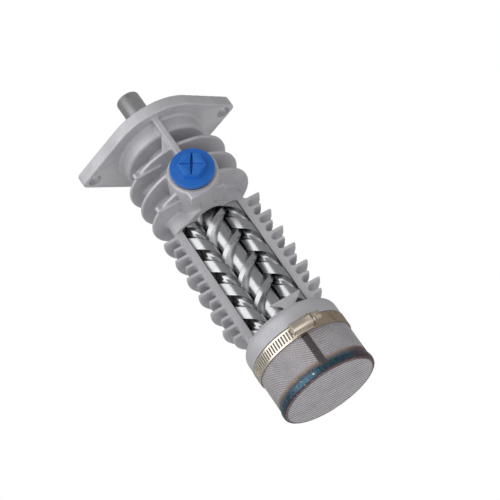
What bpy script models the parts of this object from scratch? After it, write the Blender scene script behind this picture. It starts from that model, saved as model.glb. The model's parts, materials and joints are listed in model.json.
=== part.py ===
"""Three-screw pump with a cutaway casing, standing on its suction strainer.

The pump axis is Z, with the drive shaft on top. The mounting flange is long in X.
The outlet port and the cutaway window face -Y. The origin is the centre of the
strainer's flat bottom.
"""

import math

import bmesh
import bpy
from mathutils import Matrix, Vector

MM = 0.001
FIT_GAP = 0.3 * MM
CUT_MARGIN = 5.0 * MM
MERGE_DISTANCE = 0.005 * MM

# Rotors: a right-hand drive screw meshing with two left-hand idlers, two starts each
SCREW_SPACING = 15.4 * MM
PITCH_RADIUS = SCREW_SPACING / 2
DRIVE_OUTER_RADIUS = SCREW_SPACING * 5 / 6
IDLER_ROOT_RADIUS = SCREW_SPACING - DRIVE_OUTER_RADIUS
SCREW_LEAD = 42.0 * MM
SCREW_STARTS = 2
DRIVE_CREST_HALF_ANGLE = math.radians(17.0)
FLANK_CLEARANCE = 0.22 * MM
SCREW_STEPS_PER_TURN = 20
SCREW_BOTTOM_Z = 45.0 * MM
SCREW_TOP_Z = 165.0 * MM
SCREW_PHASE = math.radians(118.0)
BORE_CLEARANCE = 0.15 * MM

# Drive shaft
SHAFT_RADIUS = 9.0 * MM
SHAFT_TOP_Z = 274.2 * MM
SHAFT_CHAMFER = 1.0 * MM
SHAFT_HOLE_RADIUS = SHAFT_RADIUS + 0.5 * MM
SHAFT_NECK_RADIUS = 6.7 * MM
SHAFT_NECK_LENGTH = 6.0 * MM
SHAFT_JOIN_DEPTH = 1.0 * MM

# Mounting flange and neck
FLANGE_BOTTOM_Z = 226.6 * MM
FLANGE_THICKNESS = 9.0 * MM
FLANGE_TOP_Z = FLANGE_BOTTOM_Z + FLANGE_THICKNESS
FLANGE_HUB_RADIUS = 42.8 * MM
FLANGE_EDGE_ANGLE = math.radians(41.6)
FLANGE_HALF_LENGTH = 62.1 * MM
BOLT_SPACING = 106.4 * MM
BOLT_HOLE_RADIUS = 5.0 * MM
NECK_RADIUS = 32.0 * MM
NECK_BOTTOM_Z = 215.0 * MM
NECK_EDGE_RADIUS = 2.5 * MM
SEAL_OUTER_RADIUS = 16.0 * MM
SEAL_DEPTH = 5.0 * MM
SEAL_RECESS = 0.4 * MM

# Casing core: an ellipse round all three bores, with a round middle
CORE_CENTRE_RADIUS = 18.0 * MM
CORE_HALF_LENGTH = 28.2 * MM
CORE_HALF_WIDTH = 12.0 * MM
OUTLET_SPLIT_Z = 161.0 * MM
CHAMBER_TOP_Z = 188.0 * MM

# Cutaway window
WINDOW_BOTTOM_Z = 59.0 * MM
WINDOW_TOP_Z = 155.7 * MM
CUT_PLANE_Y = -3.5 * MM

# Cooling fins
FIN_LOWEST_Z = 73.9 * MM
FIN_PITCH = 15.83 * MM
FIN_THICKNESS = 2.4 * MM
LEVEL_TOLERANCE = 0.01 * MM
FIN_EDGE_RADIUS = 0.7 * MM
FIN_INNER_RADIUS = 14.0 * MM
TALL_FIN_RADIUS = 38.9 * MM
SHORT_FIN_RADIUS = 35.2 * MM
UPPER_FIN_HALF_DEPTH = 35.4 * MM
MID_FIN_COUNT = 6
UPPER_FIN_COUNT = 3
TIE_BAR_FACE_Y = -24.7 * MM
TIE_BAR_THICKNESS = 2.0 * MM
TIE_BAR_DEPTH = 2.0 * MM
TIE_BAR_END_X = -31.0 * MM

# Outlet port
PORT_Z = 174.5 * MM
PORT_FACE_Y = -38.0 * MM
PORT_RADIUS = 18.0 * MM
PORT_BORE_RADIUS = 11.5 * MM
PORT_BOSS_BACK_Y = -6.0 * MM
PLUG_RADIUS = 15.6 * MM
PLUG_FLANGE_THICKNESS = 3.2 * MM
PLUG_HEX_RADIUS = 10.4 * MM
PLUG_HEX_HEIGHT = 5.2 * MM
PLUG_SLOT_WIDTH = 1.8 * MM
PLUG_SLOT_DEPTH = 2.2 * MM
PLUG_SLOT_HALF_HEIGHT = 8.2 * MM
PLUG_GROOVE_HALF_WIDTH = 7.8 * MM
PLUG_SHANK_LENGTH = 12.0 * MM
PLUG_JOIN_DEPTH = 1.0 * MM
GASKET_RADIUS = PLUG_RADIUS - 0.4 * MM
GASKET_THICKNESS = 1.2 * MM
BOSS_LUG_LEFT_X = -12.0 * MM
BOSS_LUG_RIGHT_X = -4.3 * MM
BOSS_LUG_BACK_Y = -28.0 * MM
BOSS_FOOT_LEFT_X = -4.0 * MM
BOSS_FOOT_RIGHT_X = 4.5 * MM
BOSS_LUG_BOTTOM_Z = 154.3 * MM
BOSS_SHELF_RIGHT_X = 15.5 * MM
BOSS_SHELF_BOTTOM_Z = 159.0 * MM
FRONT_RIB_WIDTH = 4.8 * MM
FRONT_RIB_FACE_Y = -37.5 * MM
RIB_WEB_WIDTH = 6.5 * MM
RIB_WEB_HEIGHT = 11.0 * MM
RIB_WEB_FACE_Y = -34.8 * MM
RIB_WEB_THICKNESS = 3.0 * MM

# Bridge left standing at the foot of the window, in front of the screws
BRIDGE_FACE_Y = -15.8 * MM
BRIDGE_BACK_Y = -13.8 * MM
BRIDGE_LEFT_X = -4.8 * MM
BRIDGE_RIGHT_X = 18.8 * MM
BRIDGE_TOP_Z = 68.3 * MM
BRIDGE_ARCH_Z = 63.5 * MM
BRIDGE_FOOT_LEFT_X = 2.5 * MM
BRIDGE_FOOT_RIGHT_X = 10.5 * MM
BRIDGE_ARCH_DROP = 1.5 * MM
BRIDGE_END_LEAN = 2.0 * MM
BRIDGE_END_HEIGHT = 3.5 * MM

# Suction end
COLLAR_TOP_Z = 55.2 * MM
COLLAR_RADIUS = 35.6 * MM
COLLAR_SHOULDER_Z = 39.9 * MM
COLLAR_SPIGOT_RADIUS = 33.6 * MM
COLLAR_BOTTOM_Z = 30.0 * MM
COLLAR_INNER_RADIUS = 28.0 * MM
COLLAR_FLOOR_Z = 45.0 * MM
COLLAR_EDGE_RADIUS = 8.0 * MM
THRUST_PLATE_THICKNESS = 3.5 * MM
THRUST_PLATE_HOLE_RADIUS = 4.5 * MM
THRUST_PLATE_HOLE_Y = 20.0 * MM

# Strainer and hose clamp
STRAINER_RADIUS = 34.9 * MM
STRAINER_WALL = 1.0 * MM
STRAINER_SIDE_BOTTOM_Z = 1.3 * MM
STRAINER_FLOOR_THICKNESS = 1.0 * MM
WELD_BOTTOM_Z = 0.6 * MM
WELD_TOP_Z = 5.8 * MM
WELD_THICKNESS = 0.6 * MM
SEAM_ANGLE = math.radians(-91.8)
SEAM_WIDTH = 5.0 * MM
SEAM_THICKNESS = 0.5 * MM
BAND_BOTTOM_Z = 30.2 * MM
BAND_HEIGHT = 9.0 * MM
BAND_THICKNESS = 0.8 * MM
CLAMP_ANGLE = math.radians(-90.3)
CLAMP_Z = 34.9 * MM
CLAMP_HOUSING_LENGTH = 15.6 * MM
CLAMP_BARREL_RADIUS = 4.4 * MM
CLAMP_SCREW_RADIUS = 3.4 * MM
CLAMP_SCREW_LENGTH = 5.6 * MM
CLAMP_HOUSING_END = 1.2 * MM

ROUND_SEGMENTS = 48
MEDIUM_SEGMENTS = 32
SMALL_SEGMENTS = 20
SHARP_ANGLE = math.radians(30.0)


def clear_scene():
    """Remove every object that is already in the file."""
    for obj in list(bpy.data.objects):
        bpy.data.objects.remove(obj, do_unlink=True)


def make_collection(name):
    """Return a new collection linked to the scene."""
    collection = bpy.data.collections.new(name)
    bpy.context.scene.collection.children.link(collection)
    return collection


def make_material(name, colour, roughness, metallic):
    """Return a Principled BSDF material of one colour."""
    material = bpy.data.materials.new(name)
    material.use_nodes = True
    shader = material.node_tree.nodes["Principled BSDF"]
    shader.inputs["Base Color"].default_value = (*colour, 1.0)
    shader.inputs["Roughness"].default_value = roughness
    shader.inputs["Metallic"].default_value = metallic
    return material


def add_object(name, mesh, collection, colour=None):
    """Put a mesh into the scene with a material of its own."""
    obj = bpy.data.objects.new(name, mesh)
    collection.objects.link(obj)
    if colour is not None:
        rgb, roughness, metallic = colour
        mesh.materials.append(make_material(name + "_finish", rgb, roughness, metallic))
    return obj


def mesh_from_bmesh(name, bm):
    """Turn a bmesh into a mesh and free it."""
    mesh = bpy.data.meshes.new(name)
    bm.to_mesh(mesh)
    bm.free()
    return mesh


def cylinder(
    name, collection, radius, bottom, top, colour=None, centre=(0.0, 0.0), segments=ROUND_SEGMENTS
):
    """A cylinder along Z."""
    bm = bmesh.new()
    bmesh.ops.create_cone(
        bm,
        cap_ends=True,
        segments=segments,
        radius1=radius,
        radius2=radius,
        depth=top - bottom,
        matrix=Matrix.Translation((centre[0], centre[1], (bottom + top) / 2)),
    )
    return add_object(name, mesh_from_bmesh(name, bm), collection, colour)


def cylinder_along_y(
    name, collection, radius, front_y, back_y, centre_z, colour=None, segments=ROUND_SEGMENTS
):
    """A cylinder along Y, centred on X = 0."""
    middle = Matrix.Translation((0.0, (front_y + back_y) / 2, centre_z))
    place = middle @ Matrix.Rotation(math.pi / 2, 4, "X")
    bm = bmesh.new()
    bmesh.ops.create_cone(
        bm,
        cap_ends=True,
        segments=segments,
        radius1=radius,
        radius2=radius,
        depth=back_y - front_y,
        matrix=place,
    )
    return add_object(name, mesh_from_bmesh(name, bm), collection, colour)


def box(name, collection, low, high, colour=None):
    """A box between two corners."""
    low = Vector(low)
    high = Vector(high)
    size = high - low
    bm = bmesh.new()
    place = Matrix.Translation((low + high) / 2) @ Matrix.Diagonal((*size, 1.0))
    bmesh.ops.create_cube(bm, size=1.0, matrix=place)
    return add_object(name, mesh_from_bmesh(name, bm), collection, colour)


def turned(name, collection, profile, colour=None, segments=ROUND_SEGMENTS, closed=False):
    """A turned shape: (radius, z) points that run down the outer side."""
    mesh = bpy.data.meshes.new(name)
    edges = [(i, i + 1) for i in range(len(profile) - 1)]
    if closed:
        edges.append((len(profile) - 1, 0))
    mesh.from_pydata([(radius, 0.0, z) for radius, z in profile], edges, [])
    obj = add_object(name, mesh, collection, colour)
    screw = obj.modifiers.new("turn", "SCREW")
    screw.axis = "Z"
    screw.angle = 2 * math.pi
    screw.steps = segments
    screw.render_steps = segments
    screw.use_merge_vertices = True
    screw.merge_threshold = MERGE_DISTANCE
    return obj


def prism(name, collection, outline, bottom, top, colour=None):
    """A flat outline in the XY plane, raised between two heights."""
    curve = bpy.data.curves.new(name, "CURVE")
    curve.dimensions = "2D"
    curve.fill_mode = "BOTH"
    curve.extrude = (top - bottom) / 2
    spline = curve.splines.new("POLY")
    spline.points.add(len(outline) - 1)
    for point, (x, y) in zip(spline.points, outline):
        point.co = (x, y, 0.0, 1.0)
    spline.use_cyclic_u = True
    helper = bpy.data.objects.new(name + "_outline", curve)
    collection.objects.link(helper)
    bpy.context.view_layer.update()
    graph = bpy.context.evaluated_depsgraph_get()
    mesh = bpy.data.meshes.new_from_object(helper.evaluated_get(graph))
    bpy.data.objects.remove(helper, do_unlink=True)
    bm = bmesh.new()
    bm.from_mesh(mesh)
    bmesh.ops.remove_doubles(bm, verts=bm.verts, dist=MERGE_DISTANCE)
    bmesh.ops.recalc_face_normals(bm, faces=bm.faces)
    bmesh.ops.translate(bm, verts=bm.verts, vec=(0.0, 0.0, (bottom + top) / 2))
    bm.to_mesh(mesh)
    bm.free()
    mesh.name = name
    return add_object(name, mesh, collection, colour)


def plate(name, collection, outline, front_y, back_y, colour=None):
    """A flat outline in the XZ plane, thickened between two depths."""
    obj = prism(name, collection, outline, -back_y, -front_y, colour)
    obj.rotation_euler.x = math.pi / 2
    return obj


def as_cutter(obj):
    """Mark an object as a cutter that is not part of the pump."""
    obj.hide_render = True
    obj.display_type = "WIRE"
    return obj


def boolean(obj, other, operation):
    """Add a Boolean modifier that uses the other object."""
    modifier = obj.modifiers.new(operation.lower() + "_" + other.name, "BOOLEAN")
    modifier.operation = operation
    modifier.solver = "EXACT"
    modifier.object = other
    return obj


def cut(obj, *cutters):
    """Cut an object with each of the cutters."""
    for cutter in cutters:
        boolean(obj, cutter, "DIFFERENCE")
    return obj


def arc(centre, radius, start, end, steps):
    """Points along an arc in the XY plane, both ends included."""
    return [
        (
            centre[0] + radius * math.cos(start + (end - start) * i / steps),
            centre[1] + radius * math.sin(start + (end - start) * i / steps),
        )
        for i in range(steps + 1)
    ]


def bore_outline(centre_radius, lobe_radius):
    """The outline round the three rotor bores."""
    meet_x = (centre_radius**2 - lobe_radius**2 + SCREW_SPACING**2) / (2 * SCREW_SPACING)
    meet_y = math.sqrt(centre_radius**2 - meet_x**2)
    lobe_angle = math.atan2(meet_y, meet_x - SCREW_SPACING)
    centre_angle = math.atan2(meet_y, meet_x)
    lobe = arc((SCREW_SPACING, 0.0), lobe_radius, -lobe_angle, lobe_angle, 16)
    top = arc((0.0, 0.0), centre_radius, centre_angle, math.pi - centre_angle, 12)
    half = lobe + top[1:-1]
    return half + [(-x, -y) for x, y in half]


def core_outline(gap=0.0):
    """The casing's outline: an ellipse with a round middle, grown by a gap."""
    middle = CORE_CENTRE_RADIUS + gap
    length = CORE_HALF_LENGTH + gap
    width = CORE_HALF_WIDTH + gap
    meet_x = math.sqrt(((middle / width) ** 2 - 1) / (1 / width**2 - 1 / length**2))
    side_angle = math.acos(meet_x / length)
    middle_angle = math.acos(meet_x / middle)
    side = [
        (length * math.cos(angle), width * math.sin(angle))
        for angle in (side_angle * i / 8 for i in range(-8, 9))
    ]
    top = arc((0.0, 0.0), middle, middle_angle, math.pi - middle_angle, 10)
    half = side + top[1:-1]
    return half + [(-x, -y) for x, y in half]


def flange_outline():
    """A round hub with straight edges that run to two rounded tips."""
    edge = FLANGE_EDGE_ANGLE
    apex = FLANGE_HUB_RADIUS / math.sin(edge)
    tip_radius = (apex - FLANGE_HALF_LENGTH) / (1 / math.sin(edge) - 1)
    turn = math.pi / 2 - edge
    tip = arc((FLANGE_HALF_LENGTH - tip_radius, 0.0), tip_radius, -turn, turn, 6)
    top = arc((0.0, 0.0), FLANGE_HUB_RADIUS, turn, math.pi - turn, 12)
    quarter = tip + top
    return quarter + [(-x, -y) for x, y in quarter]


def drive_flank_angle(radius):
    """Angle between the flank's foot and a point of it, on the drive screw."""
    unit = radius / PITCH_RADIUS
    roll = math.acos(max(-1.0, min(1.0, (5.0 - unit**2) / 4.0)))
    x = 2 * math.cos(roll) - math.cos(2 * roll)
    y = 2 * math.sin(roll) - math.sin(2 * roll)
    return math.atan2(y, x)


def idler_flank_angle(radius):
    """Angle between the groove's root corner and a point of its flank, on an idler."""
    unit = radius / PITCH_RADIUS
    tip = DRIVE_OUTER_RADIUS / PITCH_RADIUS
    cosine = (4.0 + tip**2 - unit**2) / (4.0 * tip)
    roll = math.acos(max(-1.0, min(1.0, cosine)))
    x = 2 * math.cos(roll) - tip * math.cos(2 * roll)
    y = 2 * math.sin(roll) - tip * math.sin(2 * roll)
    return abs(math.atan2(y, x))


def drive_section():
    """The drive screw's section: two narrow teeth on a round core."""
    foot = DRIVE_CREST_HALF_ANGLE + drive_flank_angle(DRIVE_OUTER_RADIUS)
    tooth = []
    for share in (0.12, 0.4, 0.7, 1.0):
        radius = PITCH_RADIUS + (DRIVE_OUTER_RADIUS - PITCH_RADIUS) * share
        tooth.append((radius, foot - drive_flank_angle(radius)))
    side = [(PITCH_RADIUS, foot)] + tooth
    points = [(radius, -angle) for radius, angle in side]
    points.append((DRIVE_OUTER_RADIUS, 0.0))
    points += [(radius, angle) for radius, angle in reversed(side)]
    points += root_arc(foot)
    return two_starts(points)


def idler_section():
    """An idler's section: two hollow grooves between broad crests."""
    groove = []
    for share in (0.0, 0.3, 0.65, 1.0):
        radius = IDLER_ROOT_RADIUS + (PITCH_RADIUS - IDLER_ROOT_RADIUS) * share
        groove.append((radius, DRIVE_CREST_HALF_ANGLE + idler_flank_angle(radius)))
    points = [(radius, -angle) for radius, angle in reversed(groove)]
    points += groove
    points += root_arc(groove[-1][1])
    return two_starts(points)


def root_arc(foot):
    """Three points on the pitch circle, evenly spread between two flanks."""
    step = (math.pi - 2 * foot) / 4
    return [(PITCH_RADIUS, foot + step * i) for i in (1, 2, 3)]


def two_starts(points):
    """Repeat one start's (radius, angle) points round the section, as (x, y)."""
    section = []
    for start in range(SCREW_STARTS):
        turn = 2 * math.pi * start / SCREW_STARTS
        for radius, angle in points:
            section.append((radius * math.cos(angle + turn), radius * math.sin(angle + turn)))
    return section


def inset_section(section, distance):
    """Move each corner of a closed section inwards by a running clearance."""
    inset = []
    count = len(section)
    for i in range(count):
        before = Vector(section[i - 1])
        here = Vector(section[i])
        after = Vector(section[(i + 1) % count])
        first = (here - before).normalized()
        second = (after - here).normalized()
        normal = Vector((-(first.y + second.y), first.x + second.x))
        normal.normalize()
        lean = max(0.5, normal.dot(Vector((-first.y, first.x))))
        inset.append(tuple(here + normal * (distance / lean)))
    return inset


def screw_mesh(name, section, lead, phase):
    """Sweep a section up a helix between the rotor's two end faces."""
    height = SCREW_TOP_Z - SCREW_BOTTOM_Z
    steps = round(abs(height / lead) * SCREW_STEPS_PER_TURN)
    turn = 2 * math.pi * height / lead
    bm = bmesh.new()
    verts = [bm.verts.new((x, y, SCREW_BOTTOM_Z)) for x, y in section]
    face = bm.faces.new(verts)
    bmesh.ops.rotate(bm, verts=verts, cent=(0, 0, 0), matrix=Matrix.Rotation(phase, 3, "Z"))
    bmesh.ops.spin(
        bm,
        geom=[face, *face.edges, *face.verts],
        cent=(0.0, 0.0, 0.0),
        axis=(0.0, 0.0, 1.0),
        dvec=(0.0, 0.0, height / steps),
        angle=turn,
        steps=steps,
        use_merge=False,
        use_duplicate=False,
    )
    level = SCREW_BOTTOM_Z + LEVEL_TOLERANCE
    bottom = [edge for edge in bm.edges if edge.is_boundary and edge.verts[0].co.z < level]
    if bottom:
        bmesh.ops.contextual_create(bm, geom=bottom)
    bmesh.ops.recalc_face_normals(bm, faces=bm.faces)
    return mesh_from_bmesh(name, bm)


CAST = ((0.42, 0.41, 0.42), 0.55, 0.7)
MACHINED = ((0.52, 0.52, 0.53), 0.35, 0.9)
POLISHED = ((0.62, 0.61, 0.60), 0.18, 1.0)
MESH_WIRE = ((0.40, 0.38, 0.40), 0.45, 0.8)
BLUE_PLASTIC = ((0.02, 0.13, 0.50), 0.35, 0.0)
BLACK_RUBBER = ((0.03, 0.03, 0.03), 0.6, 0.0)
CLAMP_STEEL = ((0.58, 0.52, 0.42), 0.3, 1.0)
WELD_BLUE = ((0.07, 0.16, 0.25), 0.35, 0.8)
SEAM_DARK = ((0.10, 0.09, 0.095), 0.5, 0.6)


def build_cutters(cutters):
    """Solids that cut the casing, shared by several pieces."""
    bore = BORE_CLEARANCE
    tools = {}
    tools["shaft"] = cylinder(
        "cut_shaft", cutters, SHAFT_HOLE_RADIUS, CHAMBER_TOP_Z - CUT_MARGIN, FLANGE_TOP_Z + CUT_MARGIN
    )
    bores = prism(
        "cut_bores",
        cutters,
        bore_outline(DRIVE_OUTER_RADIUS + bore, PITCH_RADIUS + bore),
        COLLAR_FLOOR_Z - CUT_MARGIN,
        CHAMBER_TOP_Z,
    )
    tools["bores"] = bores
    tools["window"] = box(
        "cut_window",
        cutters,
        (-FLANGE_HALF_LENGTH, -FLANGE_HALF_LENGTH, WINDOW_BOTTOM_Z),
        (FLANGE_HALF_LENGTH, CUT_PLANE_Y, WINDOW_TOP_Z),
    )
    tools["core"] = prism(
        "cut_core",
        cutters,
        core_outline(FIT_GAP),
        COLLAR_TOP_Z - CUT_MARGIN,
        FLANGE_TOP_Z,
    )
    tools["boss"] = cylinder_along_y(
        "cut_boss",
        cutters,
        PORT_RADIUS + FIT_GAP,
        PORT_FACE_Y - CUT_MARGIN,
        PORT_BOSS_BACK_Y + FIT_GAP,
        PORT_Z,
    )
    tools["port"] = cylinder_along_y(
        "cut_port", cutters, PORT_BORE_RADIUS, PORT_FACE_Y - CUT_MARGIN, 0.0, PORT_Z
    )
    tools["front_rib"] = box(
        "cut_front_rib",
        cutters,
        (-FRONT_RIB_WIDTH / 2 - FIT_GAP, FRONT_RIB_FACE_Y - CUT_MARGIN, PORT_Z),
        (FRONT_RIB_WIDTH / 2 + FIT_GAP, 0.0, FLANGE_BOTTOM_Z + CUT_MARGIN),
    )
    tools["neck"] = cylinder(
        "cut_neck",
        cutters,
        NECK_RADIUS + FIT_GAP,
        NECK_BOTTOM_Z - FIT_GAP,
        FLANGE_BOTTOM_Z + CUT_MARGIN,
    )
    tools["seal"] = cylinder(
        "cut_seal",
        cutters,
        SEAL_OUTER_RADIUS + FIT_GAP,
        FLANGE_TOP_Z - SEAL_DEPTH,
        FLANGE_TOP_Z + CUT_MARGIN,
    )
    for side, sign in (("left", -1), ("right", 1)):
        tools["bolt_" + side] = cylinder(
            "cut_bolt_" + side,
            cutters,
            BOLT_HOLE_RADIUS,
            FLANGE_BOTTOM_Z - CUT_MARGIN,
            FLANGE_TOP_Z + CUT_MARGIN,
            centre=(sign * BOLT_SPACING / 2, 0.0),
            segments=SMALL_SEGMENTS,
        )
    for tool in tools.values():
        as_cutter(tool)
    return tools


def build_flange_and_neck(parts, tools):
    """The two-bolt flange, the neck under it and the shaft seal."""
    flange = prism(
        "mounting_flange", parts, flange_outline(), FLANGE_BOTTOM_Z, FLANGE_TOP_Z, CAST
    )
    cut(flange, tools["shaft"], tools["seal"], tools["bolt_left"], tools["bolt_right"])
    edge = NECK_EDGE_RADIUS
    rounding = arc((NECK_RADIUS - edge, NECK_BOTTOM_Z + edge), edge, 0.0, -math.pi / 2, 3)
    profile = [(NECK_RADIUS, FLANGE_BOTTOM_Z - FIT_GAP), *rounding]
    profile += [(SHAFT_HOLE_RADIUS, NECK_BOTTOM_Z), (SHAFT_HOLE_RADIUS, FLANGE_BOTTOM_Z - FIT_GAP)]
    turned("flange_neck", parts, profile, CAST, closed=True)
    seal_top = FLANGE_TOP_Z - SEAL_RECESS
    seal_bottom = FLANGE_TOP_Z - SEAL_DEPTH + FIT_GAP
    seal_profile = [
        (SEAL_OUTER_RADIUS, seal_top),
        (SEAL_OUTER_RADIUS, seal_bottom),
        (SHAFT_HOLE_RADIUS, seal_bottom),
        (SHAFT_HOLE_RADIUS, seal_top),
    ]
    turned("shaft_seal", parts, seal_profile, BLACK_RUBBER, closed=True)


def build_casing(parts, tools):
    """The casing: the rotor housing below and the outlet housing above."""
    core = core_outline()
    rotor_top = OUTLET_SPLIT_Z - FIT_GAP
    rotor = prism("rotor_housing", parts, core, COLLAR_TOP_Z + FIT_GAP, rotor_top, CAST)
    cut(rotor, tools["bores"], tools["window"], tools["port"])
    outlet = prism("outlet_housing", parts, core, OUTLET_SPLIT_Z, NECK_BOTTOM_Z - FIT_GAP, CAST)
    cut(outlet, tools["bores"], tools["shaft"], tools["port"])


def fin_profile(radius):
    """A flat ring with softened outer edges, in front of the axis."""
    edge = FIN_EDGE_RADIUS
    half = FIN_THICKNESS / 2
    return [
        (FIN_INNER_RADIUS, half),
        (radius - edge, half),
        (radius, half - edge),
        (radius, edge - half),
        (radius - edge, -half),
        (FIN_INNER_RADIUS, -half),
    ]


def add_fin(name, parts, radius, height):
    """One ring fin at its height, before it is cut."""
    profile = [(r, z + height) for r, z in fin_profile(radius)]
    return turned(name, parts, profile, CAST, closed=True)


def build_fins(parts, tools):
    """Three fins round the outlet and a row of tall and short fins below."""
    for i in range(MID_FIN_COUNT):
        height = FIN_LOWEST_Z + i * FIN_PITCH
        tall = add_fin("tall_fin_%d" % (i + 1), parts, TALL_FIN_RADIUS, height)
        cut(tall, tools["core"], tools["window"])
        short = add_fin("short_fin_%d" % (i + 1), parts, SHORT_FIN_RADIUS, height - FIN_PITCH / 2)
        cut(short, tools["core"], tools["window"])
    for i in range(UPPER_FIN_COUNT):
        height = FIN_LOWEST_Z + (MID_FIN_COUNT + i) * FIN_PITCH
        fin = add_fin("upper_fin_%d" % (i + 1), parts, TALL_FIN_RADIUS, height)
        fin.scale.y = UPPER_FIN_HALF_DEPTH / TALL_FIN_RADIUS
        cut(fin, tools["core"], tools["boss"], tools["front_rib"])
    for label, fin_index in (("lower", 0), ("upper", 2)):
        fin_z = FIN_LOWEST_Z + (MID_FIN_COUNT + fin_index) * FIN_PITCH
        top = fin_z - FIN_THICKNESS / 2 - FIT_GAP
        bar = box(
            "tie_bar_" + label,
            parts,
            (TIE_BAR_END_X, TIE_BAR_FACE_Y, top - TIE_BAR_DEPTH),
            (0.0, TIE_BAR_FACE_Y + TIE_BAR_THICKNESS, top),
            CAST,
        )
        cut(bar, tools["boss"], tools["front_rib"])


def build_port(parts, cutters, tools):
    """The outlet boss with its lug, shelf and foot, and the plug that closes it."""
    boss = cylinder_along_y(
        "port_boss", parts, PORT_RADIUS, PORT_FACE_Y, PORT_BOSS_BACK_Y, PORT_Z, CAST
    )
    cut(boss, tools["core"], tools["port"])
    gasket_back = PORT_FACE_Y - FIT_GAP
    gasket_front = gasket_back - GASKET_THICKNESS
    gasket = cylinder_along_y(
        "plug_gasket", parts, GASKET_RADIUS, gasket_front, gasket_back, PORT_Z, BLACK_RUBBER
    )
    cut(gasket, tools["port"])
    plug_back = gasket_front - FIT_GAP
    join_y = plug_back - PLUG_JOIN_DEPTH
    plug_face = plug_back - PLUG_FLANGE_THICKNESS
    plug = cylinder_along_y(
        "outlet_plug", parts, PLUG_RADIUS, plug_face, plug_back, PORT_Z, BLUE_PLASTIC
    )
    hexagon = cylinder_along_y(
        "join_plug_hexagon",
        cutters,
        PLUG_HEX_RADIUS,
        plug_face - PLUG_HEX_HEIGHT,
        join_y,
        PORT_Z,
        segments=6,
    )
    shank = cylinder_along_y(
        "join_plug_shank",
        cutters,
        PORT_BORE_RADIUS - FIT_GAP,
        join_y,
        plug_back + PLUG_SHANK_LENGTH,
        PORT_Z,
        segments=MEDIUM_SEGMENTS,
    )
    slot_top = plug_face - PLUG_HEX_HEIGHT
    slots = [
        box(
            "cut_plug_slot_%s" % label,
            cutters,
            (-half_x, slot_top - CUT_MARGIN, PORT_Z - half_z),
            (half_x, slot_top + PLUG_SLOT_DEPTH, PORT_Z + half_z),
        )
        for label, half_x, half_z in (
            ("upright", PLUG_SLOT_WIDTH / 2, PLUG_SLOT_HALF_HEIGHT),
            ("level", PLUG_GROOVE_HALF_WIDTH, PLUG_SLOT_WIDTH / 2),
        )
    ]
    boolean(plug, as_cutter(hexagon), "UNION")
    boolean(plug, as_cutter(shank), "UNION")
    for slot in slots:
        cut(plug, as_cutter(slot))
    lug_top = PORT_Z - PORT_RADIUS / 2
    fin_under = FIN_LOWEST_Z + MID_FIN_COUNT * FIN_PITCH - FIN_THICKNESS / 2 - FIT_GAP
    lug = box(
        "boss_lug",
        parts,
        (BOSS_LUG_LEFT_X, PORT_FACE_Y, BOSS_LUG_BOTTOM_Z),
        (BOSS_LUG_RIGHT_X, BOSS_LUG_BACK_Y, lug_top),
        CAST,
    )
    cut(lug, tools["boss"])
    shelf = box(
        "boss_shelf",
        parts,
        (BOSS_FOOT_RIGHT_X + FIT_GAP, BOSS_LUG_BACK_Y, BOSS_SHELF_BOTTOM_Z),
        (BOSS_SHELF_RIGHT_X, -CORE_HALF_WIDTH, fin_under),
        CAST,
    )
    cut(shelf, tools["boss"], tools["core"])
    foot = box(
        "boss_foot",
        parts,
        (BOSS_FOOT_LEFT_X, PORT_FACE_Y, BOSS_LUG_BOTTOM_Z),
        (BOSS_FOOT_RIGHT_X, -CORE_HALF_WIDTH, lug_top),
        CAST,
    )
    cut(foot, tools["boss"], tools["core"])


def build_front_rib(parts, tools):
    """The rib between the flange and the boss, and the web on its left."""
    half = FRONT_RIB_WIDTH / 2
    rib = box(
        "front_rib",
        parts,
        (-half, FRONT_RIB_FACE_Y, PORT_Z + PORT_RADIUS / 2),
        (half, -CORE_HALF_WIDTH, FLANGE_BOTTOM_Z - FIT_GAP),
        CAST,
    )
    cut(rib, tools["core"], tools["boss"], tools["neck"])
    fin_z = FIN_LOWEST_Z + (MID_FIN_COUNT + UPPER_FIN_COUNT - 1) * FIN_PITCH
    web_bottom = fin_z + FIN_THICKNESS / 2 + FIT_GAP
    web_side = -half - FIT_GAP
    outline = [
        (web_side - RIB_WEB_WIDTH, web_bottom),
        (web_side, web_bottom),
        (web_side, web_bottom + RIB_WEB_HEIGHT),
    ]
    plate("rib_web", parts, outline, RIB_WEB_FACE_Y, RIB_WEB_FACE_Y + RIB_WEB_THICKNESS, CAST)


def build_window_bridge(parts):
    """The flat bridge that stands on the casing's wall at the foot of the window."""
    outline = [
        (BRIDGE_LEFT_X, BRIDGE_TOP_Z),
        (BRIDGE_FOOT_LEFT_X, BRIDGE_ARCH_Z),
        (BRIDGE_FOOT_LEFT_X, WINDOW_BOTTOM_Z + FIT_GAP),
        (BRIDGE_FOOT_RIGHT_X, WINDOW_BOTTOM_Z + FIT_GAP),
        (BRIDGE_FOOT_RIGHT_X, BRIDGE_ARCH_Z - BRIDGE_ARCH_DROP),
        (BRIDGE_RIGHT_X - BRIDGE_END_LEAN, BRIDGE_TOP_Z - BRIDGE_END_HEIGHT),
        (BRIDGE_RIGHT_X, BRIDGE_TOP_Z),
    ]
    plate("window_bridge", parts, outline, BRIDGE_FACE_Y, BRIDGE_BACK_Y, CAST)


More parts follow.
